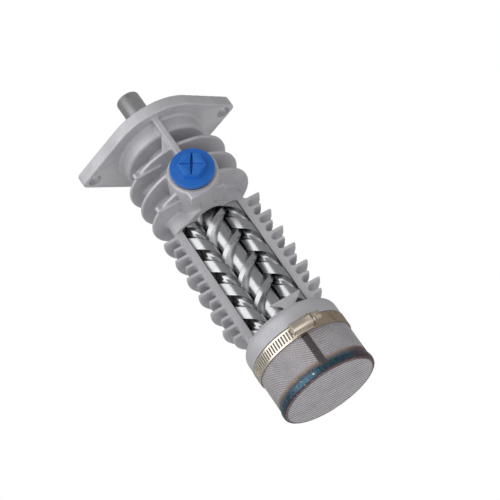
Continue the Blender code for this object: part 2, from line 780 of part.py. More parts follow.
def build_rotors(parts, cutters):
    """The drive screw with its shaft, and the two idlers."""
    clearance = FLANK_CLEARANCE
    drive = add_object(
        "drive_screw",
        screw_mesh(
            "drive_screw", inset_section(drive_section(), clearance), SCREW_LEAD, SCREW_PHASE
        ),
        parts,
        POLISHED,
    )
    neck_top = SCREW_TOP_Z + SHAFT_NECK_LENGTH
    neck_bottom = SCREW_TOP_Z - SHAFT_JOIN_DEPTH
    chamfer = SHAFT_CHAMFER
    shaft_profile = [
        (0.0, SHAFT_TOP_Z),
        (SHAFT_RADIUS - chamfer, SHAFT_TOP_Z),
        (SHAFT_RADIUS, SHAFT_TOP_Z - chamfer),
        (SHAFT_RADIUS, neck_top),
        (SHAFT_NECK_RADIUS, neck_top),
        (SHAFT_NECK_RADIUS, neck_bottom),
        (0.0, neck_bottom),
    ]
    shaft = turned("join_shaft", cutters, shaft_profile, segments=MEDIUM_SEGMENTS)
    boolean(drive, as_cutter(shaft), "UNION")
    for side, sign in (("left", -1), ("right", 1)):
        section = inset_section(idler_section(), clearance)
        idler = add_object(
            "idler_screw_" + side,
            screw_mesh("idler_screw_" + side, section, -SCREW_LEAD, -SCREW_PHASE),
            parts,
            POLISHED,
        )
        idler.location = (sign * SCREW_SPACING, 0.0, 0.0)


def build_suction_end(parts, cutters, tools):
    """The round collar under the casing and the plate that the rotors stand on."""
    edge = COLLAR_EDGE_RADIUS
    rounding = arc((COLLAR_RADIUS - edge, COLLAR_TOP_Z - edge), edge, math.pi / 2, 0.0, 6)
    profile = [(0.0, COLLAR_TOP_Z), *rounding]
    profile += [
        (COLLAR_RADIUS, COLLAR_SHOULDER_Z),
        (COLLAR_SPIGOT_RADIUS, COLLAR_SHOULDER_Z),
        (COLLAR_SPIGOT_RADIUS, COLLAR_BOTTOM_Z),
        (COLLAR_INNER_RADIUS, COLLAR_BOTTOM_Z),
        (COLLAR_INNER_RADIUS, COLLAR_FLOOR_Z),
        (0.0, COLLAR_FLOOR_Z),
    ]
    collar = turned("suction_collar", parts, profile, CAST)
    cut(collar, tools["bores"])
    plate_top = COLLAR_FLOOR_Z - FIT_GAP
    plate = cylinder(
        "thrust_plate",
        parts,
        COLLAR_INNER_RADIUS - FIT_GAP,
        plate_top - THRUST_PLATE_THICKNESS,
        plate_top,
        MACHINED,
    )
    for i, sign in enumerate((1, -1)):
        hole = cylinder(
            "cut_thrust_plate_%d" % (i + 1),
            cutters,
            THRUST_PLATE_HOLE_RADIUS,
            COLLAR_BOTTOM_Z,
            COLLAR_FLOOR_Z + CUT_MARGIN,
            centre=(0.0, sign * THRUST_PLATE_HOLE_Y),
            segments=SMALL_SEGMENTS,
        )
        cut(plate, as_cutter(hole))


def build_strainer(parts):
    """The wire strainer: side, floor, weld, seam."""
    inner = STRAINER_RADIUS - STRAINER_WALL
    top = COLLAR_SHOULDER_Z - FIT_GAP
    side_profile = [
        (STRAINER_RADIUS, top),
        (STRAINER_RADIUS, STRAINER_SIDE_BOTTOM_Z),
        (inner, STRAINER_SIDE_BOTTOM_Z),
        (inner, top),
    ]
    turned("strainer_side", parts, side_profile, MESH_WIRE, closed=True)
    cylinder("strainer_floor", parts, STRAINER_RADIUS, 0.0, STRAINER_FLOOR_THICKNESS, MESH_WIRE)
    weld_inner = STRAINER_RADIUS + FIT_GAP
    weld_outer = weld_inner + WELD_THICKNESS
    weld_profile = [
        (weld_outer, WELD_TOP_Z - WELD_THICKNESS / 2),
        (weld_outer, WELD_BOTTOM_Z + WELD_THICKNESS / 2),
        (weld_inner, WELD_BOTTOM_Z),
        (weld_inner, WELD_TOP_Z),
    ]
    turned("rim_weld", parts, weld_profile, WELD_BLUE, closed=True)
    seam_inner = STRAINER_RADIUS + FIT_GAP
    half = SEAM_WIDTH / 2 / STRAINER_RADIUS
    outline = arc((0, 0), seam_inner + SEAM_THICKNESS, SEAM_ANGLE - half, SEAM_ANGLE + half, 4)
    outline += arc((0, 0), seam_inner, SEAM_ANGLE + half, SEAM_ANGLE - half, 4)
    prism("side_seam", parts, outline, WELD_TOP_Z + FIT_GAP, BAND_BOTTOM_Z - FIT_GAP, SEAM_DARK)


def radial_place(angle, radius, height):
    """A frame at an angle round the axis: X runs along the tangent and Z up."""
    turn = Matrix.Rotation(angle + math.pi / 2, 4, "Z")
    return Matrix.Translation((radius * math.cos(angle), radius * math.sin(angle), height)) @ turn


def tangent_cylinder(name, collection, radius, start, end, place, colour=None):
    """A cylinder along the tangent, between two distances from the frame's middle."""
    bm = bmesh.new()
    lie = Matrix.Translation(((start + end) / 2, 0.0, 0.0)) @ Matrix.Rotation(math.pi / 2, 4, "Y")
    bmesh.ops.create_cone(
        bm,
        cap_ends=True,
        segments=SMALL_SEGMENTS,
        radius1=radius,
        radius2=radius,
        depth=end - start,
        matrix=place @ lie,
    )
    return add_object(name, mesh_from_bmesh(name, bm), collection, colour)


def build_hose_clamp(parts, cutters):
    """The band round the strainer's top, its worm housing and the worm screw."""
    inner = STRAINER_RADIUS + FIT_GAP
    outer = inner + BAND_THICKNESS
    top = BAND_BOTTOM_Z + BAND_HEIGHT
    band_profile = [(outer, top), (outer, BAND_BOTTOM_Z), (inner, BAND_BOTTOM_Z), (inner, top)]
    turned("clamp_band", parts, band_profile, CLAMP_STEEL, segments=64, closed=True)
    axis_radius = outer + FIT_GAP + CLAMP_BARREL_RADIUS
    place = radial_place(CLAMP_ANGLE, axis_radius, CLAMP_Z)
    half = CLAMP_HOUSING_LENGTH / 2
    housing = tangent_cylinder(
        "clamp_housing", parts, CLAMP_BARREL_RADIUS, -half, half, place, CLAMP_STEEL
    )
    bore_radius = CLAMP_SCREW_RADIUS + FIT_GAP
    bore_start = CLAMP_HOUSING_END - half
    bore = tangent_cylinder(
        "cut_clamp_bore", cutters, bore_radius, bore_start, half + CUT_MARGIN, place
    )
    cut(housing, as_cutter(bore))
    screw_end = half + CLAMP_SCREW_LENGTH
    tangent_cylinder(
        "clamp_screw", parts, CLAMP_SCREW_RADIUS, bore_start + FIT_GAP, screw_end, place, CLAMP_STEEL
    )


def shade_round(parts):
    """Shade the round surfaces smooth and keep the edges sharp."""
    for obj in parts.objects:
        obj.data.shade_smooth()
        obj.data.set_sharp_from_angle(angle=SHARP_ANGLE)


def main():
    """Build the pump."""
    clear_scene()
    parts = make_collection("three_screw_pump")
    cutters = make_collection("cutters")
    tools = build_cutters(cutters)
    build_flange_and_neck(parts, tools)
    build_casing(parts, tools)
    build_fins(parts, tools)
    build_port(parts, cutters, tools)
    build_front_rib(parts, tools)
    build_window_bridge(parts)
    build_rotors(parts, cutters)
    build_suction_end(parts, cutters, tools)
    build_strainer(parts)
    build_hose_clamp(parts, cutters)
    shade_round(parts)


main()
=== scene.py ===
"""Looks of the three-screw pump: its casting, screws, port plug, hose clamp and strainer."""

from __future__ import annotations

import json
import logging
import math
from dataclasses import dataclass
from enum import Enum
from typing import Iterable, Sequence

import bmesh
import bpy
from mathutils import Matrix, Vector


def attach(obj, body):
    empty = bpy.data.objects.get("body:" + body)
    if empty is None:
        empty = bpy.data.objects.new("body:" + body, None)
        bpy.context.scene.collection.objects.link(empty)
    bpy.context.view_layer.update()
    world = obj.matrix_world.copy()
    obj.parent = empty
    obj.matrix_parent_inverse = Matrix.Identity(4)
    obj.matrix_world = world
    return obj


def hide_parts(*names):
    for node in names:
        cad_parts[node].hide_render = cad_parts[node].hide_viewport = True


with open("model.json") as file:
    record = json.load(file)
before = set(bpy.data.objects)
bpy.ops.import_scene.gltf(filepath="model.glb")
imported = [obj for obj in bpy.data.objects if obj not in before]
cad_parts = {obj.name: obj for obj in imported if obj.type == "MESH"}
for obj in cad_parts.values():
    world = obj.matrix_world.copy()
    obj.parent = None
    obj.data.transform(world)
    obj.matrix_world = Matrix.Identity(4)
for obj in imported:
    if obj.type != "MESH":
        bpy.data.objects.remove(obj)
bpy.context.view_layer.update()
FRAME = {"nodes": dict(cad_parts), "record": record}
LOG = logging.getLogger("three_screw_pump")

MM = 0.001
FULL_TURN = 2 * math.pi
Point2 = tuple[float, float]
Colour = tuple[float, float, float]


class Body(Enum):
    """The bodies that pieces ride on."""

    CASING = "pump_casing"
    DRIVE = "drive_rotor"
    LEFT_IDLER = "left_idler"
    RIGHT_IDLER = "right_idler"


def arc(radius: float, start: float, end: float, steps: int, centre: Point2 = (0.0, 0.0)) -> list[Point2]:
    """Points along an arc.

    Args:
        radius: Radius of the arc.
        start: First angle, in radians.
        end: Last angle, in radians.
        steps: Number of chords.
        centre: Centre of the arc.

    Returns:
        The points, both ends included.
    """
    angles = [start + (end - start) * i / steps for i in range(steps + 1)]
    return [(centre[0] + radius * math.cos(a), centre[1] + radius * math.sin(a)) for a in angles]


def turn_profile(bm: bmesh.types.BMesh, profile: Sequence[Point2], steps: int, closed: bool = True) -> None:
    """Turn a profile round Z.

    Args:
        bm: Mesh that the turned shape is added to.
        profile: Radius and height of each corner.
        steps: Number of facets round the axis.
        closed: Whether the last corner joins the first one.
    """
    verts = [bm.verts.new((radius, 0.0, height)) for radius, height in profile]
    pairs = list(zip(verts, verts[1:]))
    if closed:
        pairs.append((verts[-1], verts[0]))
    edges = [bm.edges.new(pair) for pair in pairs]
    bmesh.ops.spin(
        bm,
        geom=[*verts, *edges],
        cent=(0.0, 0.0, 0.0),
        axis=(0.0, 0.0, 1.0),
        angle=FULL_TURN,
        steps=steps,
        use_merge=True,
    )


def raise_outline(
    bm: bmesh.types.BMesh, outline: Sequence[Point2], low: float, high: float, upright: bool = False
) -> None:
    """Raise a flat outline into a prism along Z, or along Y where it stands upright.

    Args:
        bm: Mesh that the prism is added to.
        outline: Corners in the XY plane, or in the XZ plane.
        low: Lower end of the prism.
        high: Higher end of the prism.
        upright: Whether the outline lies in the XZ plane.
    """
    if upright:
        corners = [(x, low, z) for x, z in outline]
        away = (0.0, high - low, 0.0)
    else:
        corners = [(x, y, low) for x, y in outline]
        away = (0.0, 0.0, high - low)
    base = bm.faces.new([bm.verts.new(corner) for corner in corners])
    raised = bmesh.ops.extrude_face_region(bm, geom=[base])["geom"]
    verts = [item for item in raised if isinstance(item, bmesh.types.BMVert)]
    bmesh.ops.translate(bm, verts=verts, vec=away)


def add_rod(
    bm: bmesh.types.BMesh,
    radius: float,
    start: Vector,
    end: Vector,
    segments: int = 48,
    end_radius: float | None = None,
) -> list[bmesh.types.BMVert]:
    """Add a round rod or cone between two points.

    Args:
        bm: Mesh that the rod is added to.
        radius: Radius at the start.
        start: Centre of the first end.
        end: Centre of the other end.
        segments: Number of facets.
        end_radius: Radius at the end, where it differs.

    Returns:
        The rod's vertices.
    """
    along = end - start
    place = Matrix.Translation((start + end) / 2) @ along.to_track_quat("Z", "Y").to_matrix().to_4x4()
    made = bmesh.ops.create_cone(
        bm,
        cap_ends=True,
        segments=segments,
        radius1=radius,
        radius2=radius if end_radius is None else end_radius,
        depth=along.length,
        matrix=place,
    )
    return made["verts"]


def add_block(bm: bmesh.types.BMesh, low: Sequence[float], high: Sequence[float]) -> list[bmesh.types.BMVert]:
    """Add a block between two corners.

    Args:
        bm: Mesh that the block is added to.
        low: Lowest corner.
        high: Highest corner.

    Returns:
        The block's vertices.
    """
    low_corner = Vector(low)
    high_corner = Vector(high)
    size = Matrix.Diagonal((*(high_corner - low_corner), 1.0))
    place = Matrix.Translation((low_corner + high_corner) / 2) @ size
    return bmesh.ops.create_cube(bm, size=1.0, matrix=place)["verts"]


def soften(bm: bmesh.types.BMesh, width: float, segments: int, least_angle: float) -> None:
    """Round the edges that are sharper than an angle.

    Args:
        bm: Mesh to round.
        width: Width of the rounding.
        segments: Facets across the rounding.
        least_angle: Angle between faces from which an edge counts, in radians.
    """
    edges = [edge for edge in bm.edges if edge.is_manifold and edge.calc_face_angle(0.0) > least_angle]
    bmesh.ops.bevel(
        bm,
        geom=edges,
        offset=width,
        offset_type="OFFSET",
        affect="EDGES",
        segments=segments,
        profile=0.5,
        material=-1,
        clamp_overlap=True,
    )


def new_object(name: str, bm: bmesh.types.BMesh, tidy: bool = True) -> bpy.types.Object:
    """Turn a bmesh into an object of the scene.

    Args:
        name: Name of the object.
        bm: Mesh, which is freed.
        tidy: Whether doubles are merged and normals turned outwards.

    Returns:
        The object, at the origin.
    """
    if tidy:
        bmesh.ops.remove_doubles(bm, verts=bm.verts, dist=0.001 * MM)
        bmesh.ops.recalc_face_normals(bm, faces=bm.faces)
    mesh = bpy.data.meshes.new(name)
    bm.to_mesh(mesh)
    bm.free()
    obj = bpy.data.objects.new(name, mesh)
    bpy.context.scene.collection.objects.link(obj)
    return obj


def apply_modifiers(obj: bpy.types.Object) -> None:
    """Bake an object's modifiers into its mesh."""
    bpy.context.view_layer.update()
    graph = bpy.context.evaluated_depsgraph_get()
    mesh = bpy.data.meshes.new_from_object(obj.evaluated_get(graph))
    obj.modifiers.clear()
    obj.data = mesh


def shade(obj: bpy.types.Object, sharp_degrees: float) -> None:
    """Shade a mesh smooth, except across edges sharper than an angle."""
    obj.data.shade_smooth()
    obj.data.set_sharp_from_angle(angle=math.radians(sharp_degrees))


def mount_piece(
    obj: bpy.types.Object,
    body: Body,
    materials: Iterable[bpy.types.Material],
    replaces: Sequence[str] = (),
) -> bpy.types.Object:
    """Dress a piece and tie it to the frame.

    Args:
        obj: The piece.
        body: Body that it rides on.
        materials: Its materials, in slot order.
        replaces: CAD nodes that the piece stands for.

    Returns:
        The same piece.
    """
    obj.data.materials.clear()
    for material in materials:
        obj.data.materials.append(material)
    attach(obj, body.value)
    if replaces:
        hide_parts(*replaces)
    LOG.info("%s: %d faces on %s", obj.name, len(obj.data.polygons), body.value)
    return obj


class Sketch:
    """Adds nodes to a shader tree and links them."""

    def __init__(self, tree: bpy.types.NodeTree) -> None:
        """Keep the tree to draw in."""
        self.tree = tree

    def add(self, kind: str, **settings: object) -> bpy.types.Node:
        """Add a node and set its properties."""
        node = self.tree.nodes.new(kind)
        for key, value in settings.items():
            setattr(node, key, value)
        return node

    def join(self, source: object, target: bpy.types.NodeSocket) -> None:
        """Link a socket to another one, or set a plain value on it."""
        if isinstance(source, bpy.types.NodeSocket):
            self.tree.links.new(source, target)
        else:
            target.default_value = source

    def math(self, operation: str, first: object, second: object = 0.0, clamp: bool = False) -> bpy.types.NodeSocket:
        """Add a Math node.

        Args:
            operation: Name of the operation.
            first: First value or socket.
            second: Second value or socket.
            clamp: Whether the result stays between 0 and 1.

        Returns:
            The result's socket.
        """
        node = self.add("ShaderNodeMath", operation=operation, use_clamp=clamp)
        self.join(first, node.inputs[0])
        self.join(second, node.inputs[1])
        return node.outputs[0]

    def spread(self, value: object, low: float, high: float, new_low: float = 0.0, new_high: float = 1.0):
        """Map a range of values smoothly to another one.

        Args:
            value: Socket to read.
            low: Value that becomes new_low.
            high: Value that becomes new_high.
            new_low: Result at low.
            new_high: Result at high.

        Returns:
            The result's socket.
        """
        node = self.add("ShaderNodeMapRange", interpolation_type="SMOOTHSTEP")
        self.join(value, node.inputs["Value"])
        node.inputs["From Min"].default_value = low
        node.inputs["From Max"].default_value = high
        node.inputs["To Min"].default_value = new_low
        node.inputs["To Max"].default_value = new_high
        return node.outputs["Result"]

    def blend(self, factor: object, first: object, second: object) -> bpy.types.NodeSocket:
        """Mix two colours.

        Args:
            factor: Share of the second colour.
            first: First colour or socket.
            second: Second colour or socket.

        Returns:
            The mixed colour's socket.
        """
        node = self.add("ShaderNodeMix", data_type="RGBA")
        self.join(factor, node.inputs[0])
        for value, socket in ((first, node.inputs[6]), (second, node.inputs[7])):
            if isinstance(value, tuple):
                value = (*value, 1.0)
            self.join(value, socket)
        return node.outputs[2]

    def noise(self, vector: object, scale: object, detail: float = 3.0, roughness: float = 0.5):
        """Add a Noise texture.

        Args:
            vector: Socket with the coordinates.
            scale: Value or socket of the scale.
            detail: Number of octaves.
            roughness: Strength of the finer octaves.

        Returns:
            The noise value's socket.
        """
        node = self.add("ShaderNodeTexNoise")
        self.join(vector, node.inputs["Vector"])
        self.join(scale, node.inputs["Scale"])
        node.inputs["Detail"].default_value = detail
        node.inputs["Roughness"].default_value = roughness
        return node.outputs["Fac"]

    def stretch(self, vector: object, scale: Sequence[float]) -> bpy.types.NodeSocket:
        """Scale coordinates by a Mapping node."""
        node = self.add("ShaderNodeMapping")
        self.join(vector, node.inputs["Vector"])
        node.inputs["Scale"].default_value = scale
        return node.outputs["Vector"]

    def bump(self, height: object, distance: float, strength: float = 1.0) -> bpy.types.NodeSocket:
        """Add a Bump node.

        Args:
            height: Socket with a height between 0 and 1.
            distance: Height of the relief in metres.
            strength: Strength of the effect.

        Returns:
            The normal's socket.
        """
        node = self.add("ShaderNodeBump")
        node.inputs["Strength"].default_value = strength
        node.inputs["Distance"].default_value = distance
        self.join(height, node.inputs["Height"])
        return node.outputs["Normal"]


class GroupKind(Enum):
    """The effects that several finishes share."""

    GRAIN = "sand_grain"
    WEAR_AND_HOLLOW_SHADE = "edge_and_hollow"
    TURNING = "turning_lines"
    WEAVE = "wire_weave"


class SharedGroups:
    """Shader node groups, each built when it is first used."""

    _made: dict[GroupKind, bpy.types.NodeTree] = {}

    @classmethod
    def get(cls, kind: GroupKind) -> bpy.types.NodeTree:
        """Return a group, and build it at its first use.

        Args:
            kind: Which group.

        Returns:
            The group's tree.
        """
        if kind not in cls._made:
            makers = {
                GroupKind.GRAIN: cls._grain,
                GroupKind.WEAR_AND_HOLLOW_SHADE: cls._edge_wear_and_hollow_shade,
                GroupKind.TURNING: cls._turning,
                GroupKind.WEAVE: cls._weave,
            }
            cls._made[kind] = makers[kind](kind.value)
        return cls._made[kind]

    @staticmethod
    def _start(name: str, inputs: Sequence[tuple[str, str, float]], outputs: Sequence[str]):
        """Start a group with its named sockets.

        Args:
            name: Name of the group.
            inputs: Name, socket type and value of each input.
            outputs: Names of the outputs, all of them values.

        Returns:
            The tree, its sketch, and its input and output nodes.
        """
        tree = bpy.data.node_groups.new(name, "ShaderNodeTree")
        for label, kind, value in inputs:
            socket = tree.interface.new_socket(name=label, in_out="INPUT", socket_type=kind)
            if kind == "NodeSocketFloat":
                socket.default_value = value
        for label in outputs:
            tree.interface.new_socket(name=label, in_out="OUTPUT", socket_type="NodeSocketFloat")
        sketch = Sketch(tree)
        return tree, sketch, sketch.add("NodeGroupInput"), sketch.add("NodeGroupOutput")

    @classmethod
    def _grain(cls, name: str) -> bpy.types.NodeTree:
        """Sand-cast skin: a fine grain, a soft unevenness and pale or dark blotches."""
        tree, sketch, given, out = cls._start(
            name,
            [("Vector", "NodeSocketVector", 0.0), ("Scale", "NodeSocketFloat", 1.0)],
            ["Height", "Blotch", "Speck"],
        )
        fine = sketch.noise(given.outputs["Vector"], sketch.math("MULTIPLY", given.outputs["Scale"], 1400.0), 4.0, 0.6)
        soft = sketch.noise(given.outputs["Vector"], sketch.math("MULTIPLY", given.outputs["Scale"], 260.0), 2.0)
        blotch = sketch.noise(given.outputs["Vector"], sketch.math("MULTIPLY", given.outputs["Scale"], 60.0), 5.0, 0.6)
        height = sketch.math("ADD", sketch.math("MULTIPLY", fine, 0.55), sketch.math("MULTIPLY", soft, 0.45))
        sketch.join(height, out.inputs["Height"])
        sketch.join(sketch.spread(blotch, 0.3, 0.7), out.inputs["Blotch"])
        sketch.join(sketch.spread(fine, 0.55, 0.75), out.inputs["Speck"])
        return tree

    @classmethod
    def _edge_wear_and_hollow_shade(cls, name: str) -> bpy.types.NodeTree:
        """Masks of the raised edges, for wear, and of the hollows of a fine mesh, for painted shade."""
        tree, sketch, given, out = cls._start(
            name,
            [("Vector", "NodeSocketVector", 0.0), ("Width", "NodeSocketFloat", 0.03)],
            ["Edge", "Hollow"],
        )
        geometry = sketch.add("ShaderNodeNewGeometry")
        bent = sketch.math("SUBTRACT", geometry.outputs["Pointiness"], 0.5)
        breaks = sketch.noise(given.outputs["Vector"], 420.0, 3.0, 0.6)
        edge = sketch.math("DIVIDE", bent, given.outputs["Width"])
        rough_edge = sketch.math("MULTIPLY", edge, sketch.spread(breaks, 0.3, 0.65, 0.45, 1.0))
        sketch.join(sketch.spread(rough_edge, 0.15, 0.9), out.inputs["Edge"])
        # Hollow mask: concave spots, where the casting gets painted shade.
        sketch.join(sketch.spread(sketch.math("MULTIPLY", edge, -1.0), 0.1, 1.0), out.inputs["Hollow"])
        return tree

    @classmethod
    def _turning(cls, name: str) -> bpy.types.NodeTree:
        """Fine lines left round Z by a lathe or a grinding wheel."""
        tree, sketch, given, out = cls._start(
            name,
            [("Vector", "NodeSocketVector", 0.0), ("Lines", "NodeSocketFloat", 3000.0)],
            ["Height", "Tone"],
        )
        across = sketch.stretch(given.outputs["Vector"], (0.02, 0.02, 1.0))
        lines = sketch.noise(across, given.outputs["Lines"], 3.0, 0.65)
        smears = sketch.noise(given.outputs["Vector"], 150.0, 4.0, 0.6)
        sketch.join(lines, out.inputs["Height"])
        tone = sketch.math("ADD", sketch.math("MULTIPLY", lines, 0.5), sketch.math("MULTIPLY", smears, 0.5))
        sketch.join(sketch.spread(tone, 0.35, 0.65), out.inputs["Tone"])
        return tree

    @classmethod
    def _weave(cls, name: str) -> bpy.types.NodeTree:
        """Twilled weave of round wires: Across and Along count the wires, Run the twill's step."""
        tree, sketch, given, out = cls._start(
            name,
            [
                ("Across", "NodeSocketFloat", 0.0),
                ("Along", "NodeSocketFloat", 0.0),
                ("Run", "NodeSocketFloat", 2.0),
            ],
            ["Height", "Pore", "Ridge"],
        )
        waves = []
        for first, second in (("Across", "Along"), ("Along", "Across")):
            turns = sketch.math("MULTIPLY", given.outputs[first], math.pi)
            bow = sketch.math("ABSOLUTE", sketch.math("SINE", turns))
            over = sketch.math("SINE", sketch.math("MULTIPLY", given.outputs[second], math.pi))
            turn = sketch.math("COSINE", turns)
            lift = sketch.math("MULTIPLY", over, sketch.math("SIGN", turn))
            height = sketch.math("MULTIPLY", sketch.math("SUBTRACT", 1.0, bow), sketch.math("ADD", 1.4, lift))
            waves.append((height, bow))
        height = sketch.math("MAXIMUM", waves[0][0], waves[1][0])
        pore = sketch.math("MINIMUM", waves[0][1], waves[1][1])
        step = sketch.math("ADD", given.outputs["Across"], given.outputs["Along"])
        wave = sketch.math("SINE", sketch.math("DIVIDE", sketch.math("MULTIPLY", step, FULL_TURN), given.outputs["Run"]))
        ridge = sketch.spread(wave, -0.7, 0.8)
        raised = sketch.math("ADD", sketch.math("MULTIPLY", height, 0.3), sketch.math("MULTIPLY", ridge, 0.5))
        sketch.join(raised, out.inputs["Height"])
        sketch.join(sketch.spread(pore, 0.62, 0.9), out.inputs["Pore"])
        sketch.join(ridge, out.inputs["Ridge"])
        return tree


class MaterialSketch(Sketch):
    """A material with a Principled BSDF, ready for nodes."""

    def __init__(self, name: str) -> None:
        """Start the material."""
        self.material = bpy.data.materials.new(name)
        self.material.use_nodes = True
        super().__init__(self.material.node_tree)
        self.shader = self.tree.nodes["Principled BSDF"]
        self.place = self.add("ShaderNodeTexCoord").outputs["Object"]

    def set(self, **values: object) -> None:
        """Set or link inputs of the shader, with underscores for the spaces in their names."""
        for key, value in values.items():
            socket = self.shader.inputs[key.replace("_", " ")]
            if isinstance(value, tuple) and len(value) == 3:
                value = (*value, 1.0)
            self.join(value, socket)

    def group(self, kind: GroupKind, **values: object) -> bpy.types.Node:
        """Place a shared group.

        Args:
            kind: Which group.
            values: Values or sockets of its inputs.

        Returns:
            The group's node.
        """
        node = self.add("ShaderNodeGroup")
        node.node_tree = SharedGroups.get(kind)
        for key, value in values.items():
            self.join(value, node.inputs[key])
        return node


@dataclass(frozen=True)
class CastSkin:
    """Bead-blasted aluminium casting, with painted shade in its hollows."""

    name: str = "cast_aluminium"
    colour: Colour = (0.60, 0.595, 0.625)
    dark: Colour = (0.46, 0.455, 0.485)
    edge: Colour = (0.70, 0.69, 0.71)
    # Painted shade: the colour laid into hollows and creases, where shade falls.
    hollow: Colour = (0.24, 0.235, 0.245)
    metallic: float = 0.3
    roughness: float = 0.48
    relief: float = 0.10 * MM

    def material(self) -> bpy.types.Material:
        """Build the material."""
        sketch = MaterialSketch(self.name)
        grain = sketch.group(GroupKind.GRAIN, Vector=sketch.place)
        wear_and_shade = sketch.group(GroupKind.WEAR_AND_HOLLOW_SHADE, Vector=sketch.place, Width=0.045)
        body = sketch.blend(sketch.math("MULTIPLY", grain.outputs["Blotch"], 0.55), self.colour, self.dark)
        body = sketch.blend(sketch.math("MULTIPLY", grain.outputs["Speck"], 0.18), body, self.edge)
        # Painted shade: the hollows darken towards the hollow colour.
        body = sketch.blend(sketch.math("MULTIPLY", wear_and_shade.outputs["Hollow"], 0.55), body, self.hollow)
        body = sketch.blend(sketch.math("MULTIPLY", wear_and_shade.outputs["Edge"], 0.4), body, self.edge)
        rough = sketch.math("ADD", self.roughness, sketch.math("MULTIPLY", grain.outputs["Blotch"], 0.12))
        rough = sketch.math("SUBTRACT", rough, sketch.math("MULTIPLY", wear_and_shade.outputs["Edge"], 0.12))
        sketch.set(
            Base_Color=body,
            Metallic=self.metallic,
            Roughness=rough,
            Normal=sketch.bump(grain.outputs["Height"], self.relief),
        )
        return sketch.material


@dataclass(frozen=True)
class MilledFace:
    """Flat faces of the casting that a cutter has passed over."""

    name: str = "milled_aluminium"
    colour: Colour = (0.44, 0.45, 0.475)
    dark: Colour = (0.33, 0.335, 0.355)
    roughness: float = 0.34

    def material(self) -> bpy.types.Material:
        """Build the material."""
        sketch = MaterialSketch(self.name)
        streaks = sketch.noise(sketch.stretch(sketch.place, (1.0, 1.0, 0.06)), 2600.0, 3.0, 0.6)
        smears = sketch.noise(sketch.place, 110.0, 4.0, 0.6)
        tone = sketch.spread(sketch.math("ADD", sketch.math("MULTIPLY", streaks, 0.4), smears), 0.45, 0.95)
        sketch.set(
            Base_Color=sketch.blend(tone, self.dark, self.colour),
            Metallic=0.75,
            Roughness=sketch.math("ADD", self.roughness, sketch.math("MULTIPLY", tone, 0.1)),
            Normal=sketch.bump(streaks, 0.03 * MM),
        )
        return sketch.material


@dataclass(frozen=True)
class GroundSteel:
    """Hardened and ground steel of the screws and the shaft."""

    name: str = "ground_steel"
    colour: Colour = (0.53, 0.54, 0.555)
    stain: Colour = (0.40, 0.39, 0.385)
    roughness: float = 0.25
    lines: float = 5200.0

    def material(self) -> bpy.types.Material:
        """Build the material."""
        sketch = MaterialSketch(self.name)
        turning = sketch.group(GroupKind.TURNING, Vector=sketch.place, Lines=self.lines)
        film = sketch.noise(sketch.place, 90.0, 4.0, 0.6)
        tone = sketch.math("MULTIPLY", turning.outputs["Tone"], 0.5)
        rough = sketch.math("ADD", self.roughness, sketch.math("MULTIPLY", turning.outputs["Tone"], 0.07))
        stain = sketch.math("ADD", tone, sketch.spread(film, 0.5, 0.8, 0.0, 0.4))
        sketch.set(
            Base_Color=sketch.blend(stain, self.colour, self.stain),
            Metallic=1.0,
            Roughness=rough,
            Normal=sketch.bump(turning.outputs["Height"], 0.012 * MM),
        )
        return sketch.material


@dataclass(frozen=True)
class MouldedPlastic:
    """Blue plastic of the port's plug."""

    name: str = "blue_plastic"
    colour: Colour = (0.010, 0.145, 0.56)
    worn: Colour = (0.035, 0.22, 0.66)
    roughness: float = 0.36

    def material(self) -> bpy.types.Material:
        """Build the material."""
        sketch = MaterialSketch(self.name)
        skin = sketch.noise(sketch.place, 1500.0, 3.0, 0.6)
        scuffs = sketch.noise(sketch.stretch(sketch.place, (1.0, 1.0, 0.3)), 240.0, 5.0, 0.65)
        wear_and_shade = sketch.group(GroupKind.WEAR_AND_HOLLOW_SHADE, Vector=sketch.place, Width=0.06)
        marks = sketch.math("ADD", sketch.spread(scuffs, 0.52, 0.78, 0.0, 0.4), wear_and_shade.outputs["Edge"], clamp=True)
        sketch.set(
            Base_Color=sketch.blend(sketch.math("MULTIPLY", marks, 0.35), self.colour, self.worn),
            Roughness=sketch.math("ADD", self.roughness, sketch.math("MULTIPLY", marks, 0.15)),
            Specular_IOR_Level=0.45,
            Normal=sketch.bump(skin, 0.02 * MM),
        )
        return sketch.material


@dataclass(frozen=True)
class Rubber:
    """Black rubber of the gasket and the shaft seal."""

    name: str = "black_rubber"
    colour: Colour = (0.018, 0.018, 0.019)
    dust: Colour = (0.07, 0.068, 0.065)

    def material(self) -> bpy.types.Material:
        """Build the material."""
        sketch = MaterialSketch(self.name)
        dust = sketch.noise(sketch.place, 300.0, 5.0, 0.65)
        turning = sketch.group(GroupKind.TURNING, Vector=sketch.place, Lines=1800.0)
        sketch.set(
            Base_Color=sketch.blend(sketch.spread(dust, 0.45, 0.75, 0.0, 0.6), self.colour, self.dust),
            Roughness=sketch.spread(dust, 0.3, 0.7, 0.45, 0.7),
            Normal=sketch.bump(turning.outputs["Height"], 0.03 * MM),
        )
        return sketch.material


